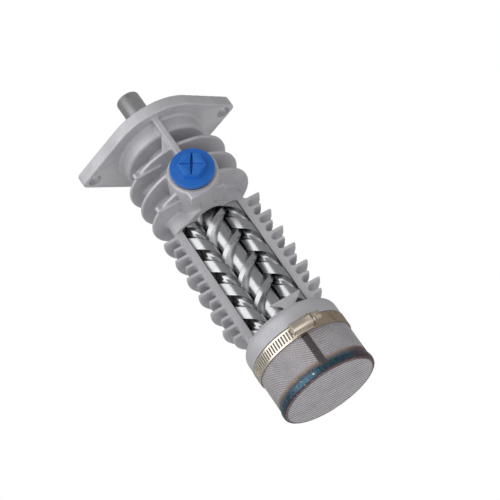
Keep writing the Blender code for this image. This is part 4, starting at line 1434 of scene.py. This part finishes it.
@dataclass
class HoseClamp:
    """The slotted band round the strainer's top, with its worm housing and screw."""

    inner: float = 35.2 * MM
    thickness: float = 0.75 * MM
    low: float = 30.2 * MM
    high: float = 39.2 * MM
    slot_margin: float = 1.5 * MM
    slot_slant: float = 0.5 * MM
    cells: int = 200
    slot_start: float = math.radians(186.0)
    slot_end: float = math.radians(262.0)
    angle: float = math.radians(-90.3)
    screw_height: float = 34.9 * MM
    barrel_radius: float = 4.1 * MM
    housing_length: float = 15.6 * MM
    screw_length: float = 6.4 * MM
    collar_radius: float = 3.9 * MM
    head_radius: float = 3.3 * MM

    def band(self) -> bpy.types.Object:
        """The band, with slots on its part left of the housing."""
        bm = bmesh.new()
        heights = [self.low, self.low + self.slot_margin, self.high - self.slot_margin, self.high]
        turn_profile(bm, [(self.inner, z) for z in heights], self.cells, closed=False)
        slots = []
        for face in bm.faces:
            centre = face.calc_center_median()
            turn = math.atan2(centre.y, centre.x) % FULL_TURN
            in_row = abs(centre.z - (self.low + self.high) / 2) < 1 * MM
            cell = int(turn / FULL_TURN * self.cells)
            if in_row and self.slot_start < turn < self.slot_end and cell % 2 == 0:
                slots.append(face)
        bmesh.ops.delete(bm, geom=slots, context="FACES_ONLY")
        for vert in bm.verts:
            share = (vert.co.z - self.low) / (self.high - self.low)
            shift = Matrix.Rotation(share * self.slot_slant / self.inner, 3, "Z")
            bmesh.ops.rotate(bm, verts=[vert], cent=(0, 0, 0), matrix=shift)
        band = new_object("clamp_band_slotted", bm)
        wall = band.modifiers.new("wall", "SOLIDIFY")
        wall.thickness = self.thickness
        wall.offset = 1.0
        edge = band.modifiers.new("edge", "BEVEL")
        edge.width = 0.14 * MM
        edge.segments = 2
        edge.limit_method = "ANGLE"
        edge.angle_limit = math.radians(50.0)
        apply_modifiers(band)
        shade(band, 35.0)
        return band

    def place(self) -> Matrix:
        """Frame of the worm: X along it, Y towards the pump's axis, Z up."""
        radius = self.inner + self.thickness + 0.3 * MM + self.barrel_radius
        spot = (radius * math.cos(self.angle), radius * math.sin(self.angle), self.screw_height)
        return Matrix.Translation(spot) @ Matrix.Rotation(self.angle + math.pi / 2, 4, "Z")

    def housing(self) -> bpy.types.Object:
        """The folded housing: a barrel with lipped ends, and feet on the band."""
        bm = bmesh.new()
        half = self.housing_length / 2
        lip = 0.35 * MM
        wall = 0.8 * MM
        outer = self.barrel_radius
        profile = [
            (outer - 0.3 * MM, -half),
            (outer + lip, -half + 0.5 * MM),
            (outer + lip, -half + 1.1 * MM),
            (outer, -half + 1.9 * MM),
            (outer, half - 1.9 * MM),
            (outer + lip, half - 1.1 * MM),
            (outer + lip, half - 0.5 * MM),
            (outer - 0.3 * MM, half),
            (outer - wall, half),
            (outer - wall, -half),
        ]
        turn_profile(bm, profile, 64)
        bmesh.ops.rotate(bm, verts=bm.verts, cent=(0, 0, 0), matrix=Matrix.Rotation(math.pi / 2, 3, "Y"))
        saddle = bmesh.new()
        low = (-half + 1.0 * MM, 0.4 * MM, -self.barrel_radius - 1.5 * MM)
        add_block(saddle, low, (half - 1.4 * MM, outer + 0.8 * MM, self.barrel_radius + 0.1 * MM))
        soften(saddle, 0.5 * MM, 3, math.radians(60.0))
        strap = bpy.data.meshes.new("saddle")
        saddle.to_mesh(strap)
        saddle.free()
        bm.from_mesh(strap)
        bpy.data.meshes.remove(strap)
        housing = new_object("clamp_housing_folded", bm)
        housing.data.transform(self.place())
        shade(housing, 35.0)
        return housing

    def screw(self) -> bpy.types.Object:
        """The worm with its collar and hexagon head."""
        bm = bmesh.new()
        half = self.housing_length / 2
        worm = self.barrel_radius - 1.1 * MM
        add_rod(bm, worm, Vector((-half + 1.4 * MM, 0, 0)), Vector((half + 0.4 * MM, 0, 0)), 48)
        collar_end = half + 1.6 * MM
        tip = Vector((half + self.screw_length, 0, 0))
        add_rod(bm, self.collar_radius, Vector((half + 0.3 * MM, 0, 0)), Vector((collar_end, 0, 0)), 48)
        head = add_rod(bm, self.head_radius, Vector((collar_end + 0.5 * MM, 0, 0)), tip, 6)
        add_rod(bm, 2.1 * MM, Vector((half + 1.0 * MM, 0, 0)), Vector((collar_end + 1.0 * MM, 0, 0)), 32)
        edges = {edge for vert in head for edge in vert.link_edges}
        bmesh.ops.bevel(
            bm,
            geom=list(edges),
            offset=0.35 * MM,
            offset_type="OFFSET",
            affect="EDGES",
            segments=2,
            profile=0.5,
            material=-1,
        )
        screw = new_object("clamp_screw_hexagon", bm)
        screw.data.transform(self.place())
        shade(screw, 35.0)
        return screw

    def build(self) -> list[bpy.types.Object]:
        """Build the clamp's three pieces.

        Returns:
            The band, the housing and the screw.
        """
        plate = PlatedSteel().material()
        pieces = (
            (self.band(), "clamp_band"),
            (self.housing(), "clamp_housing"),
            (self.screw(), "clamp_screw"),
        )
        return [
            mount_piece(piece, Body.CASING, [plate], [node]) for piece, node in pieces
        ]


@dataclass
class Strainer:
    """The wire strainer with its weld and seam."""

    radius: float = 34.9 * MM
    wall: float = 1.0 * MM
    top: float = 39.6 * MM
    floor_thickness: float = 1.0 * MM
    rim_round: float = 1.1 * MM
    weld_low: float = 0.7 * MM
    weld_high: float = 5.8 * MM
    weld_rise: float = 0.75 * MM
    seam_angle: float = math.radians(-91.8)
    seam_width: float = 5.0 * MM
    seam_low: float = 5.6 * MM
    seam_high: float = 30.0 * MM

    def side(self) -> bpy.types.Object:
        """The upright mesh."""
        bm = bmesh.new()
        inner = self.radius - self.wall
        low = self.rim_round
        profile = [(self.radius, self.top), (self.radius, low), (inner, low), (inner, self.top)]
        turn_profile(bm, profile, 192)
        side = new_object("strainer_side_woven", bm)
        shade(side, 35.0)
        return mount_piece(
            side,
            Body.CASING,
            [WovenWire(MeshRun.ROUND_THE_SIDE, self.radius).material()],
            ["strainer_side"],
        )

    def floor(self) -> bpy.types.Object:
        """The flat mesh disc with its rounded rim."""
        bm = bmesh.new()
        edge = self.rim_round
        profile = [(0.0, self.floor_thickness + 0.1 * MM), (self.radius - 0.1 * MM, self.floor_thickness + 0.1 * MM)]
        profile += [(self.radius - edge + x, edge + z) for x, z in arc(edge, 0.0, -math.pi / 2, 6)]
        profile.append((0.0, 0.0))
        turn_profile(bm, profile, 192, closed=False)
        floor = new_object("strainer_floor_woven", bm)
        shade(floor, 35.0)
        return mount_piece(
            floor,
            Body.CASING,
            [WovenWire(MeshRun.ACROSS_THE_FLOOR, self.radius).material()],
            ["strainer_floor"],
        )

    def weld(self) -> bpy.types.Object:
        """The low weld bead round the foot, with uneven edges."""
        bm = bmesh.new()
        half = (self.weld_high - self.weld_low) / 2
        middle = (self.weld_high + self.weld_low) / 2
        crown = [
            (self.radius + 0.1 * MM + self.weld_rise * math.cos(a) ** 0.7, middle + half * math.sin(a))
            for a in (math.pi / 2 * (i / 8) for i in range(-7, 8))
        ]
        profile = [(self.radius - 0.4 * MM, self.weld_high), *reversed(crown), (self.radius - 0.4 * MM, self.weld_low)]
        turn_profile(bm, profile, 240)
        weld = new_object("rim_weld_bead", bm)
        ripples = bpy.data.textures.new("weld_ripples", "CLOUDS")
        ripples.noise_scale = 2.4 * MM
        rough = weld.modifiers.new("ripples", "DISPLACE")
        rough.texture = ripples
        rough.texture_coords = "LOCAL"
        rough.strength = 0.35 * MM
        rough.mid_level = 0.75
        apply_modifiers(weld)
        shade(weld, 60.0)
        return mount_piece(weld, Body.CASING, [HeatTint().material()], ["rim_weld"])

    def seam(self) -> bpy.types.Object:
        """The lap seam down the side."""
        bm = bmesh.new()
        half = self.seam_width / 2 / self.radius
        outline = arc(self.radius + 0.45 * MM, self.seam_angle - half, self.seam_angle + half, 8)
        outline += arc(self.radius - 0.2 * MM, self.seam_angle + half, self.seam_angle - half, 8)
        raise_outline(bm, outline, self.seam_low, self.seam_high)
        soften(bm, 0.2 * MM, 2, math.radians(50.0))
        seam = new_object("side_seam_lapped", bm)
        shade(seam, 40.0)
        return mount_piece(seam, Body.CASING, [DarkSeam().material()], ["side_seam"])

    def build(self) -> list[bpy.types.Object]:
        """Build the strainer's pieces.

        Returns:
            The side, the floor, the weld and the seam.
        """
        return [self.side(), self.floor(), self.weld(), self.seam()]


class CarriedOver:
    """CAD nodes whose shape is right, dressed in better materials."""

    def build(self) -> None:
        """Dress the gasket, the seal and the thrust plate."""
        finishes = {
            "plug_gasket": Rubber().material(),
            "shaft_seal": Rubber(name="seal_rubber").material(),
            "thrust_plate": GroundSteel(name="turned_steel", roughness=0.3, lines=2600.0).material(),
        }
        for node, material in finishes.items():
            obj = FRAME["nodes"][node]
            obj.data.materials.clear()
            obj.data.materials.append(material)
            LOG.info("%s: new finish", node)


@dataclass
class Studio:
    """Pale floor and sky, soft lights, and the camera."""

    eye: tuple[float, float, float] = (-0.23683, -1.00956, -0.37081)
    azimuth: float = math.radians(-13.76)
    elevation: float = math.radians(-25.24)
    roll: float = math.radians(-35.16)
    focal_pixels: float = 1660.67
    frame_pixels: float = 500.0
    floor_height: float = -0.9
    ambient: float = 0.36

    def axes(self) -> tuple[Vector, Vector, Vector]:
        """The camera's right, up and back directions."""
        back = Vector(
            (
                math.sin(self.azimuth) * math.cos(self.elevation),
                -math.cos(self.azimuth) * math.cos(self.elevation),
                math.sin(self.elevation),
            )
        )
        right = (-back).cross(Vector((0, 0, 1))).normalized()
        up = right.cross(-back)
        turned_right = math.cos(self.roll) * right + math.sin(self.roll) * up
        turned_up = -math.sin(self.roll) * right + math.cos(self.roll) * up
        return turned_right, turned_up, back

    def camera(self) -> None:
        """Place the camera as the photographer did."""
        data = bpy.data.cameras.new("camera")
        data.sensor_width = 36.0
        data.lens = data.sensor_width * self.focal_pixels / self.frame_pixels
        data.clip_end = 50.0
        camera = bpy.data.objects.new("camera", data)
        bpy.context.scene.collection.objects.link(camera)
        rotation = Matrix(self.axes()).transposed().to_4x4()
        camera.matrix_world = Matrix.Translation(self.eye) @ rotation
        bpy.context.scene.camera = camera

    def light(self, name: str, right: float, up: float, back: float, size: float, watts: float) -> None:
        """Place a soft light by its direction as the camera sees it.

        Args:
            name: Name of the light.
            right: Share to the right of the picture.
            up: Share to the top of the picture.
            back: Share towards the camera.
            size: Side of the square light.
            watts: Power of the light.
        """
        axes = self.axes()
        middle = Vector((0.0, 0.0, 0.14))
        away = (axes[0] * right + axes[1] * up + axes[2] * back).normalized()
        data = bpy.data.lights.new(name, "AREA")
        data.shape = "SQUARE"
        data.size = size
        data.energy = watts
        lamp = bpy.data.objects.new(name, data)
        lamp.visible_camera = False
        bpy.context.scene.collection.objects.link(lamp)
        facing = away.to_track_quat("Z", "Y").to_matrix().to_4x4()
        lamp.matrix_world = Matrix.Translation(middle + away * 1.1) @ facing

    def sky(self) -> None:
        """Make a white backdrop that lights the pump more weakly than it shows."""
        world = bpy.data.worlds.new("studio_sky")
        world.use_nodes = True
        sketch = Sketch(world.node_tree)
        seen = sketch.add("ShaderNodeLightPath").outputs["Is Camera Ray"]
        shade_of_sky = world.node_tree.nodes["Background"]
        shade_of_sky.inputs["Color"].default_value = (1.0, 1.0, 1.0, 1.0)
        strength = sketch.math("ADD", sketch.math("MULTIPLY", seen, 1.0 - self.ambient), self.ambient)
        sketch.join(strength, shade_of_sky.inputs["Strength"])
        bpy.context.scene.world = world

    def build(self) -> None:
        """Set up the floor, the sky, the lights and the camera."""
        bm = bmesh.new()
        bmesh.ops.create_grid(bm, x_segments=1, y_segments=1, size=30.0)
        bmesh.ops.translate(bm, verts=bm.verts, vec=(0.0, 0.0, self.floor_height))
        floor = new_object("studio_floor", bm, tidy=False)
        paper = MaterialSketch("pale_paper")
        paper.set(Base_Color=(0.85, 0.85, 0.85), Roughness=0.9)
        paper.set(Emission_Color=(1.0, 1.0, 1.0), Emission_Strength=0.16)
        floor.data.materials.append(paper.material)
        self.sky()
        self.light("key", -1.1, 0.25, 0.8, 1.4, 8.5)
        self.light("fill", 0.9, -0.6, 0.9, 1.2, 3.0)
        bpy.context.scene.view_settings.view_transform = "Standard"
        self.camera()


def main() -> None:
    """Build the pump's looks and its studio."""
    logging.basicConfig(level=logging.INFO)
    Studio().build()
    for part in (Casting(), Rotors(), PortPlug(), HoseClamp(), Strainer(), CarriedOver()):
        part.build()


if __name__ == "__main__":
    main()
